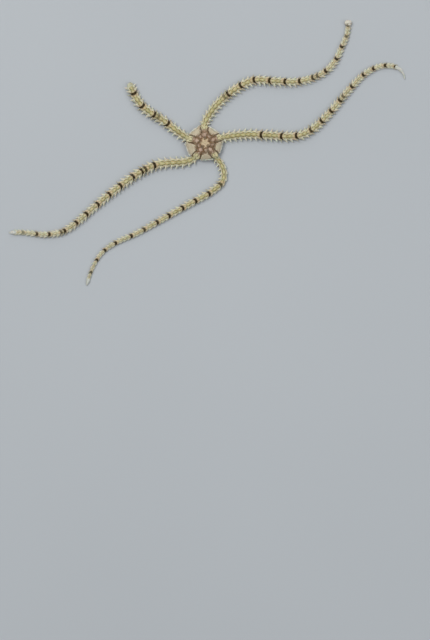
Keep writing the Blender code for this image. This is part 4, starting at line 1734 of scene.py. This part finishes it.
        def shield(u: Array, v: Array, w: Array) -> tuple[Array, Array, Array]:
            """A five-cornered plate, narrower towards the disc."""
            lean = 2 * u - 1
            turn = 270 + 36 * lean * (0.62 + 0.38 * fade(v, 0.0, 0.55))
            run = 0.02 + 0.95 * v + 0.08 * v * (1 - lean**2)
            upper = 0.0 + 0.045 * (1 - lean**2) * np.sin(math.pi * v) - 0.02 * fade(np.abs(lean), 0.8, 1)
            return turn, run, np.where(w > 0.5, upper, upper - 0.1)

        def flap(x: Array, y: Array, z: Array) -> tuple[Array, Array, Array]:
            """A small oval scale beside the plate."""
            return 270 + 43 + 9 * x, 0.66 + 0.24 * y, 0.0 + 0.075 * z

        plate = Stamp.slab(6, 5).wrapped(shield)
        scale = Stamp.button(8).wrapped(flap)
        for joint in self.joints(True):
            places, marks = self.drape(joint, plate)
            coat.add(plate, places, self.patch(joint.along(0.5), 8), self.plate_patch, **marks)
            for side in Side:
                mirrored = side is Side.RIGHT
                places, marks = self.drape(joint, scale, mirrored)
                places[:, 2] = np.maximum(places[:, 2], CLEARANCE)
                bake = self.patch(joint.along(0.7), 45 if mirrored else 315)
                coat.add(scale, places, bake, self.small_patch, mirrored, **marks)
        coat.piece(SOLE_PLATE.material(), Slot.ARM)

    def build_spines(self) -> None:
        """Rows of spines on both sides, longest and squarest near the disc."""
        coat = Coat(f"{self.body.plan.name}_spines")
        stamp = Stamp.spike(7, self.spine_profile)
        draw = random.Random(60 + self.body.plan.corner)
        for joint in self.joints(False):
            for side, rolled in zip(Side, self.body.plan.spines):
                for row in self.rows:
                    self.set_spine(coat, stamp, joint, side, row, rolled, draw)
        coat.piece(SPINE.material(), Slot.ARM)

    def set_spine(
        self,
        coat: Coat,
        stamp: Stamp,
        joint: Joint,
        side: Side,
        row: SpineRow,
        rolled: float,
        draw: random.Random,
    ) -> None:
        """Sets one spine down.

        Args:
            coat: Where it goes.
            stamp: Its shape.
            joint: The joint that carries it.
            side: The arm's side.
            row: Its row.
            rolled: Its length against the usual one, as the arm is rolled.
            draw: Gives the scatter.
        """
        distance = np.array([joint.along(self.spine_at)])
        turn = row.turn if side is Side.LEFT else 180 - row.turn
        half = float(self.body.half_at(distance)[0])
        size = half / self.body.half
        depth = np.array([self.spine_root_depth])
        root = Vector(self.body.points(distance, np.array([float(turn)]), depth)[0])
        heading = Vector((*self.body.route.heading(distance)[0], 0))
        share = float(distance[0]) / self.body.plan.grown
        angle = self.angles[0] + (self.angles[1] - self.angles[0]) * share**1.5
        swings, lifts, lengths = self.spine_scatter
        swing = side.value * math.radians(angle + row.swing * (1 - share) + draw.uniform(-swings, swings))
        lift = math.radians(row.lift * (0.6 + 0.4 * size) + draw.uniform(-lifts, lifts))
        level = Matrix.Rotation(swing, 3, "Z") @ heading
        along = level * math.cos(lift) + UP * math.sin(lift)
        slim = size**self.spine_thinning
        length = max(self.spine_length * slim, self.least_spine) * rolled * row.length
        length = (length + self.spine_foot * half) * (1 + draw.uniform(-lengths, lengths))
        marks = self.body.ring_marks(distance, np.array([0.5]), joint.pitch)
        beside = float(marks["band"][0]) * float(self.greyed_ring[0] < marks["ring"][0] < self.greyed_ring[1])
        wide = max(self.spine_root * slim, self.least_root) * row.width * (1 - 0.25 * beside)
        wide *= min(rolled, 1) ** 0.5
        thick = wide * self.spine_thickness / math.sqrt(row.width)
        root.z = max(root.z, 0.03 * MM + thick)
        if root.z + along.z * length < self.spine_level:
            along = (level + UP * (self.spine_level - root.z) / length).normalized()
        outward = (heading - heading.project(along)).normalized()
        columns = (outward * wide, along.cross(outward) * thick, along * length)
        reach = stamp.places[:, 2]
        curl = np.array(outward)[None, :] * (self.spine_curl * length * reach**2)[:, None]
        places = stamp.laid(seated(columns, root)) + curl
        bake = self.patch(float(distance[0]), (turn + 90) % 360)
        coat.add(stamp, places, bake, self.small_patch, reach=reach, band=beside)

    def end_rows(self) -> Array:
        """How far along the arm the end's rows of scales lie, evenly over its own outline."""
        along = np.linspace(self.joints(False)[-1].end - 0.2 * MM, self.body.route.length, 160)
        half = self.body.half_at(along) * self.body.end_share(along)
        run = np.concatenate(([0.0], np.cumsum(np.hypot(np.diff(along), np.diff(half)))))
        count = max(round(run[-1] / self.end_spacing), 2)
        return np.interp((np.arange(count) + 0.4) / count * run[-1], run, along)

    def build_end(self) -> None:
        """Small rounded scales over the arm's end, healed or whole."""
        coat = Coat(f"{self.body.plan.name}_end_scales")
        draw = random.Random(80 + self.body.plan.corner)
        stamp = Stamp.button(8)
        start, sweep = self.end_turns
        for row, distance in enumerate(self.end_rows()):
            share = float(self.body.end_share(distance))
            half = float(self.body.half_at(np.array([distance]))[0]) * share * self.end_depth
            count = max(round(math.pi * 1.5 * half / self.end_spacing), 4)
            size = 0.62 * max(1.5 * math.pi * half / count, 0.3 * MM)
            for index in range(count):
                turn = start + sweep * (index + 0.5 * (row % 2)) / (count - 0.5)
                self.set_end_scale(coat, stamp, distance, turn, size * draw.uniform(0.9, 1.1))
        coat.piece(BUDS[self.body.plan.bud].material(), Slot.ARM_END)

    def set_end_scale(self, coat: Coat, stamp: Stamp, distance: float, turn: float, size: float) -> None:
        """Sets one scale on the rounded end, square to it.

        Args:
            coat: Where it goes.
            stamp: Its shape.
            distance: Along the arm.
            turn: Round the arm in degrees.
            size: Half its width.
        """
        distances = np.array([distance, distance - 0.2 * MM, distance])
        share = np.full(3, self.end_depth)
        places = self.body.end_places(distances, np.array([turn, turn, turn + 8]), share)
        along = Vector(places[0] - places[1]).normalized()
        around = Vector(places[2] - places[0]).normalized()
        normal = around.cross(along).normalized()
        around = along.cross(normal)
        columns = (around * size, along * size * 1.15, normal * min(0.3 * size, 0.1 * MM))
        matrix = seated(columns, places[0] - np.array(normal) * 0.02 * MM)
        matrix[2, 3] += max(CLEARANCE - stamp.laid(matrix)[:, 2].min(), 0)
        neck = float(fade(self.body.route.length - distance, 0.9 * MM, 1.9 * MM))
        bake = self.patch(distance, (turn + 90) % 360)
        coat.place(stamp, matrix, bake, self.small_patch, tone=size / (0.6 * MM), neck=neck)


@dataclass
class Mouth:
    """The mouth under the disc: five jaws with teeth, and the shields round them."""

    disc: Disc
    radius: float = 2.75 * MM
    roof: float = 1.7 * MM
    floor: float = 0.34 * MM
    tip: float = 0.62 * MM
    cleft: float = 0.62 * MM
    teeth: int = 4
    tiers: int = 3  # teeth one over another on a jaw's tip
    tier_height: float = 0.42 * MM
    tip_tooth: Triple = (0.24, 0.17, 0.34)
    edge_tooth: Triple = (0.17, 0.14, 0.3)
    rounding: float = 0.14 * MM
    tooth_patch: float = 0.003  # sizes of the patches on the bake map
    shield_patch: float = 0.012

    def build(self) -> None:
        """Makes the jaws, the teeth and the shields."""
        self.build_jaws()
        self.build_teeth()
        self.build_shields()

    def build_jaws(self) -> None:
        """Five wedges that point at the middle, with rounded edges and a groove down each."""
        joined = bmesh.new()
        for index in range(ARM_COUNT):
            wedge = self.wedge()
            turn = Matrix.Rotation(FIRST_ARM + (index + 0.5) * ARM_STEP, 4, "Z")
            bmesh.ops.transform(wedge, verts=wedge.verts, matrix=Matrix.Translation(DISC_CENTRE) @ turn)
            mesh = bpy.data.meshes.new("jaw_draft")
            wedge.to_mesh(mesh)
            wedge.free()
            joined.from_mesh(mesh)
            bpy.data.meshes.remove(mesh)
        mesh = bpy.data.meshes.new("jaws")
        joined.to_mesh(mesh)
        joined.free()
        self.chart_flat(mesh)
        jaws = finish_piece("jaws", mesh, JAW.material(), Slot.MOUTH)
        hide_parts(*[f"jaw_{index + 1}" for index in range(ARM_COUNT)])

    def wedge(self) -> bmesh.types.BMesh:
        """One jaw along +X, its sides half a cleft from the lines to the arms."""
        bm = bmesh.new()
        height = self.roof - self.floor
        bmesh.ops.create_cone(
            bm, cap_ends=True, segments=36, radius1=self.radius, radius2=self.radius, depth=height,
            matrix=Matrix.Translation((0, 0, self.floor + height / 2)),
        )
        for side in (1, -1):
            out = Vector((-math.sin(ARM_STEP / 2), side * math.cos(ARM_STEP / 2), 0))
            self.trim(bm, out * -self.cleft / 2, out)
        self.trim(bm, Vector((self.tip, 0, 0)), Vector((-1, 0, 0)))
        edges = [edge for edge in bm.edges if edge.is_manifold and edge.calc_face_angle(0) > 0.5]
        bmesh.ops.bevel(
            bm, geom=edges, offset=self.rounding, offset_type="OFFSET", segments=3, profile=0.5,
            affect="EDGES", material=-1, clamp_overlap=True,
        )
        bmesh.ops.triangulate(bm, faces=[face for face in bm.faces if len(face.verts) > 4])
        long_edges = [edge for edge in bm.edges if edge.calc_length() > 0.4 * MM]
        bmesh.ops.subdivide_edges(bm, edges=long_edges, cuts=2)
        for vert in bm.verts:
            groove = math.exp(-((vert.co.y / (0.16 * MM)) ** 2)) * 0.12 * MM
            swell = 0.16 * MM * math.exp(-(((abs(vert.co.y) - 0.5 * MM) / (0.4 * MM)) ** 2))
            if vert.co.z < self.floor + 0.3 * MM:
                vert.co.z += groove - swell * min((vert.co.x - self.tip) / MM, 1)
        return bm

    @staticmethod
    def trim(bm: bmesh.types.BMesh, place: Vector, out: Vector) -> None:
        """Takes off what lies beyond a plane and closes the cut."""
        geometry = [*bm.verts, *bm.edges, *bm.faces]
        cut = bmesh.ops.bisect_plane(bm, geom=geometry, plane_co=place, plane_no=out, clear_outer=True)
        rim = [item for item in cut["geom_cut"] if isinstance(item, bmesh.types.BMEdge)]
        bmesh.ops.edgeloop_fill(bm, edges=rim)
        bmesh.ops.recalc_face_normals(bm, faces=bm.faces)

    def chart_flat(self, mesh: bpy.types.Mesh) -> None:
        """Gives a mouth piece its place on the bake map and on its own square."""
        places = read_numbers(mesh.vertices, "co", width=3)
        corners = read_numbers(mesh.loops, "vertex_index", np.int64)
        write_map(mesh, "OFBake", SHEET.disc(places, False)[corners])
        write_map(mesh, "plate", (0.5 + 0.4 * from_centre(places) / self.radius)[corners])
        write_numbers(mesh, "tone", np.full(len(places), 0.4))

    def build_teeth(self) -> None:
        """Blunt papillae along the jaws' edges and a stack of teeth on each tip."""
        coat = Coat("mouth_teeth")
        draw = random.Random(17)
        stamp = Stamp.spike(7, ((0, 1.0), (0.4, 0.95), (0.75, 0.7), (0.95, 0.36), (1, 0.05)))
        for index in range(ARM_COUNT):
            axis, cross = ways_at(FIRST_ARM + (index + 0.5) * ARM_STEP)
            for tier in range(self.tiers):
                level = self.floor + 0.2 * MM + tier * self.tier_height
                place = axis * (self.tip + 0.12 * MM) + UP * level
                self.set_tooth(coat, stamp, place, -axis, self.tip_tooth, draw)
            for side in (1, -1):
                edge = axis * math.cos(ARM_STEP / 2) + cross * side * math.sin(ARM_STEP / 2)
                out = cross * side * math.cos(ARM_STEP / 2) - axis * math.sin(ARM_STEP / 2)
                for tooth in range(self.teeth):
                    run = self.tip + 0.25 * MM + 0.44 * MM * tooth
                    place = edge * run - out * (self.cleft / 2 + 0.12 * MM) + UP * (self.floor + 0.1 * MM)
                    way = (out - UP * 0.5 - edge * 0.25).normalized()
                    self.set_tooth(coat, stamp, place, way, self.edge_tooth, draw)
        coat.piece(JAW.material(), Slot.MOUTH)

    def set_tooth(
        self,
        coat: Coat,
        stamp: Stamp,
        place: Vector,
        way: Vector,
        sizes: Triple,
        draw: random.Random,
    ) -> None:
        """Sets one tooth down, its sizes in millimetres."""
        aside = way.cross(UP).normalized()
        third = way.cross(aside)
        wide, thick, long = (size * MM * draw.uniform(0.9, 1.1) for size in sizes)
        matrix = seated((aside * wide, third * thick, way * long), DISC_CENTRE + place)
        bake = SHEET.disc(matrix[:3, 3], False)
        coat.place(stamp, matrix, bake, self.tooth_patch, tone=draw.random())

    def build_shields(self) -> None:
        """The mouth shields between the arms and the pairs of plates beside the jaws."""
        coat = Coat("mouth_shields")
        draw = random.Random(19)
        stamp = Stamp.button(16, 0.3)

        def set_down(out: float, turn: float, spin: float, sizes: Triple) -> None:
            """One plate that far from the centre, that way, turned in its own plane."""
            place = Vector((out * math.cos(turn), out * math.sin(turn), sizes[2] + 0.16 * MM))
            along, across = ways_at(turn + spin)
            columns = (across * sizes[0], along * sizes[1], -UP * sizes[2])
            matrix = seated(columns, DISC_CENTRE + place)
            bake = SHEET.disc(matrix[:3, 3], False)
            coat.place(stamp, matrix, bake, self.shield_patch, tone=draw.random())

        for index in range(ARM_COUNT):
            between = FIRST_ARM + (index + 0.5) * ARM_STEP
            set_down(4.2 * MM, between, 0.0, (1.2 * MM, 1.1 * MM, 0.46 * MM))
            for side in Side:
                turn = between + side.value * math.radians(17)
                set_down(3.25 * MM, turn, side.value * math.radians(52), (0.48 * MM, 0.9 * MM, 0.4 * MM))
        coat.piece(SHIELD.material(), Slot.MOUTH)


@dataclass
class Studio:
    """The camera, the lights and the floor."""

    lens: float = 200.0
    sensor: float = 36.0
    view_high: float = 281.6 * MM  # what the photograph's height covers on the floor
    middle: Span = (3.36 * MM, -73.1 * MM)
    floor_size: float = 4.0
    floor_drop: float = 0.02 * MM
    lights: tuple[tuple[str, Triple, float, float], ...] = (  # name, place, size and power
        ("key_light", (-0.6, 0.45, 1.25), 0.7, 9.7),
        ("fill_light", (0.9, -0.2, 1.0), 1.1, 4.0),
        ("back_light", (0.1, 1.1, 0.8), 0.9, 3.5),
    )

    def build(self) -> None:
        """Makes them all."""
        self.add_camera()
        for light in self.lights:
            self.add_light(*light)
        self.add_world()
        self.add_floor()
        bpy.context.scene.view_settings.view_transform = "Standard"

    def add_camera(self) -> None:
        """Straight above, far off, with a long lens."""
        data = bpy.data.cameras.new("camera")
        data.lens = self.lens
        data.sensor_width = self.sensor
        data.clip_start = 0.01
        camera = add_object("camera", data)
        camera.location = (*self.middle, self.view_high * self.lens / self.sensor)
        bpy.context.scene.camera = camera

    def add_light(self, name: str, place: Triple, size: float, power: float) -> None:
        """A square soft light that looks at the star."""
        data = bpy.data.lights.new(name, "AREA")
        data.size = size
        data.energy = power
        light = add_object(name, data)
        light.location = place
        light.rotation_euler = (-Vector(place)).to_track_quat("-Z", "Y").to_euler()

    def add_world(self) -> None:
        """An even pale surrounding."""
        world = bpy.data.worlds.new("studio")
        world.use_nodes = True
        inputs = world.node_tree.nodes["Background"].inputs
        inputs["Color"].default_value = (0.9, 0.95, 1.0, 1)
        inputs["Strength"].default_value = 0.35
        bpy.context.scene.world = world

    def add_floor(self) -> None:
        """A plain pale floor."""
        bm = bmesh.new()
        bmesh.ops.create_grid(bm, x_segments=1, y_segments=1, size=self.floor_size / 2)
        bmesh.ops.translate(bm, verts=bm.verts, vec=(0, 0, -self.floor_drop))
        mesh = bpy.data.meshes.new("floor")
        bm.to_mesh(mesh)
        bm.free()
        material = bpy.data.materials.new("floor")
        material.use_nodes = True
        web = Web(material.node_tree)
        shader = material.node_tree.nodes["Principled BSDF"]
        place = web.node("TexCoord").outputs["Object"]
        cloud = web.node("TexNoise", {"Vector": place, "Scale": 6.0, "Detail": 2.0})
        colour = web.mix(cloud.outputs[0], shade(182, 186, 189), shade(188, 192, 195))
        web.fill(shader, {"Base Color": colour, "Roughness": 0.8})
        mesh.materials.append(material)
        add_object("floor", mesh)


def main() -> None:
    """Builds the star and its studio."""
    logging.basicConfig(level=logging.INFO, format="%(message)s")
    for build_group in (build_grain, build_ring, build_disc_marking):
        build_group()
    Studio().build()
    disc = Disc()
    bodies = [ArmBody(plan) for plan in ARMS]
    Skin(disc, bodies).build()
    disc.build()
    Mouth(disc).build()
    for body in bodies:
        ArmPlates(body, disc).build()


if __name__ == "__main__":
    main()
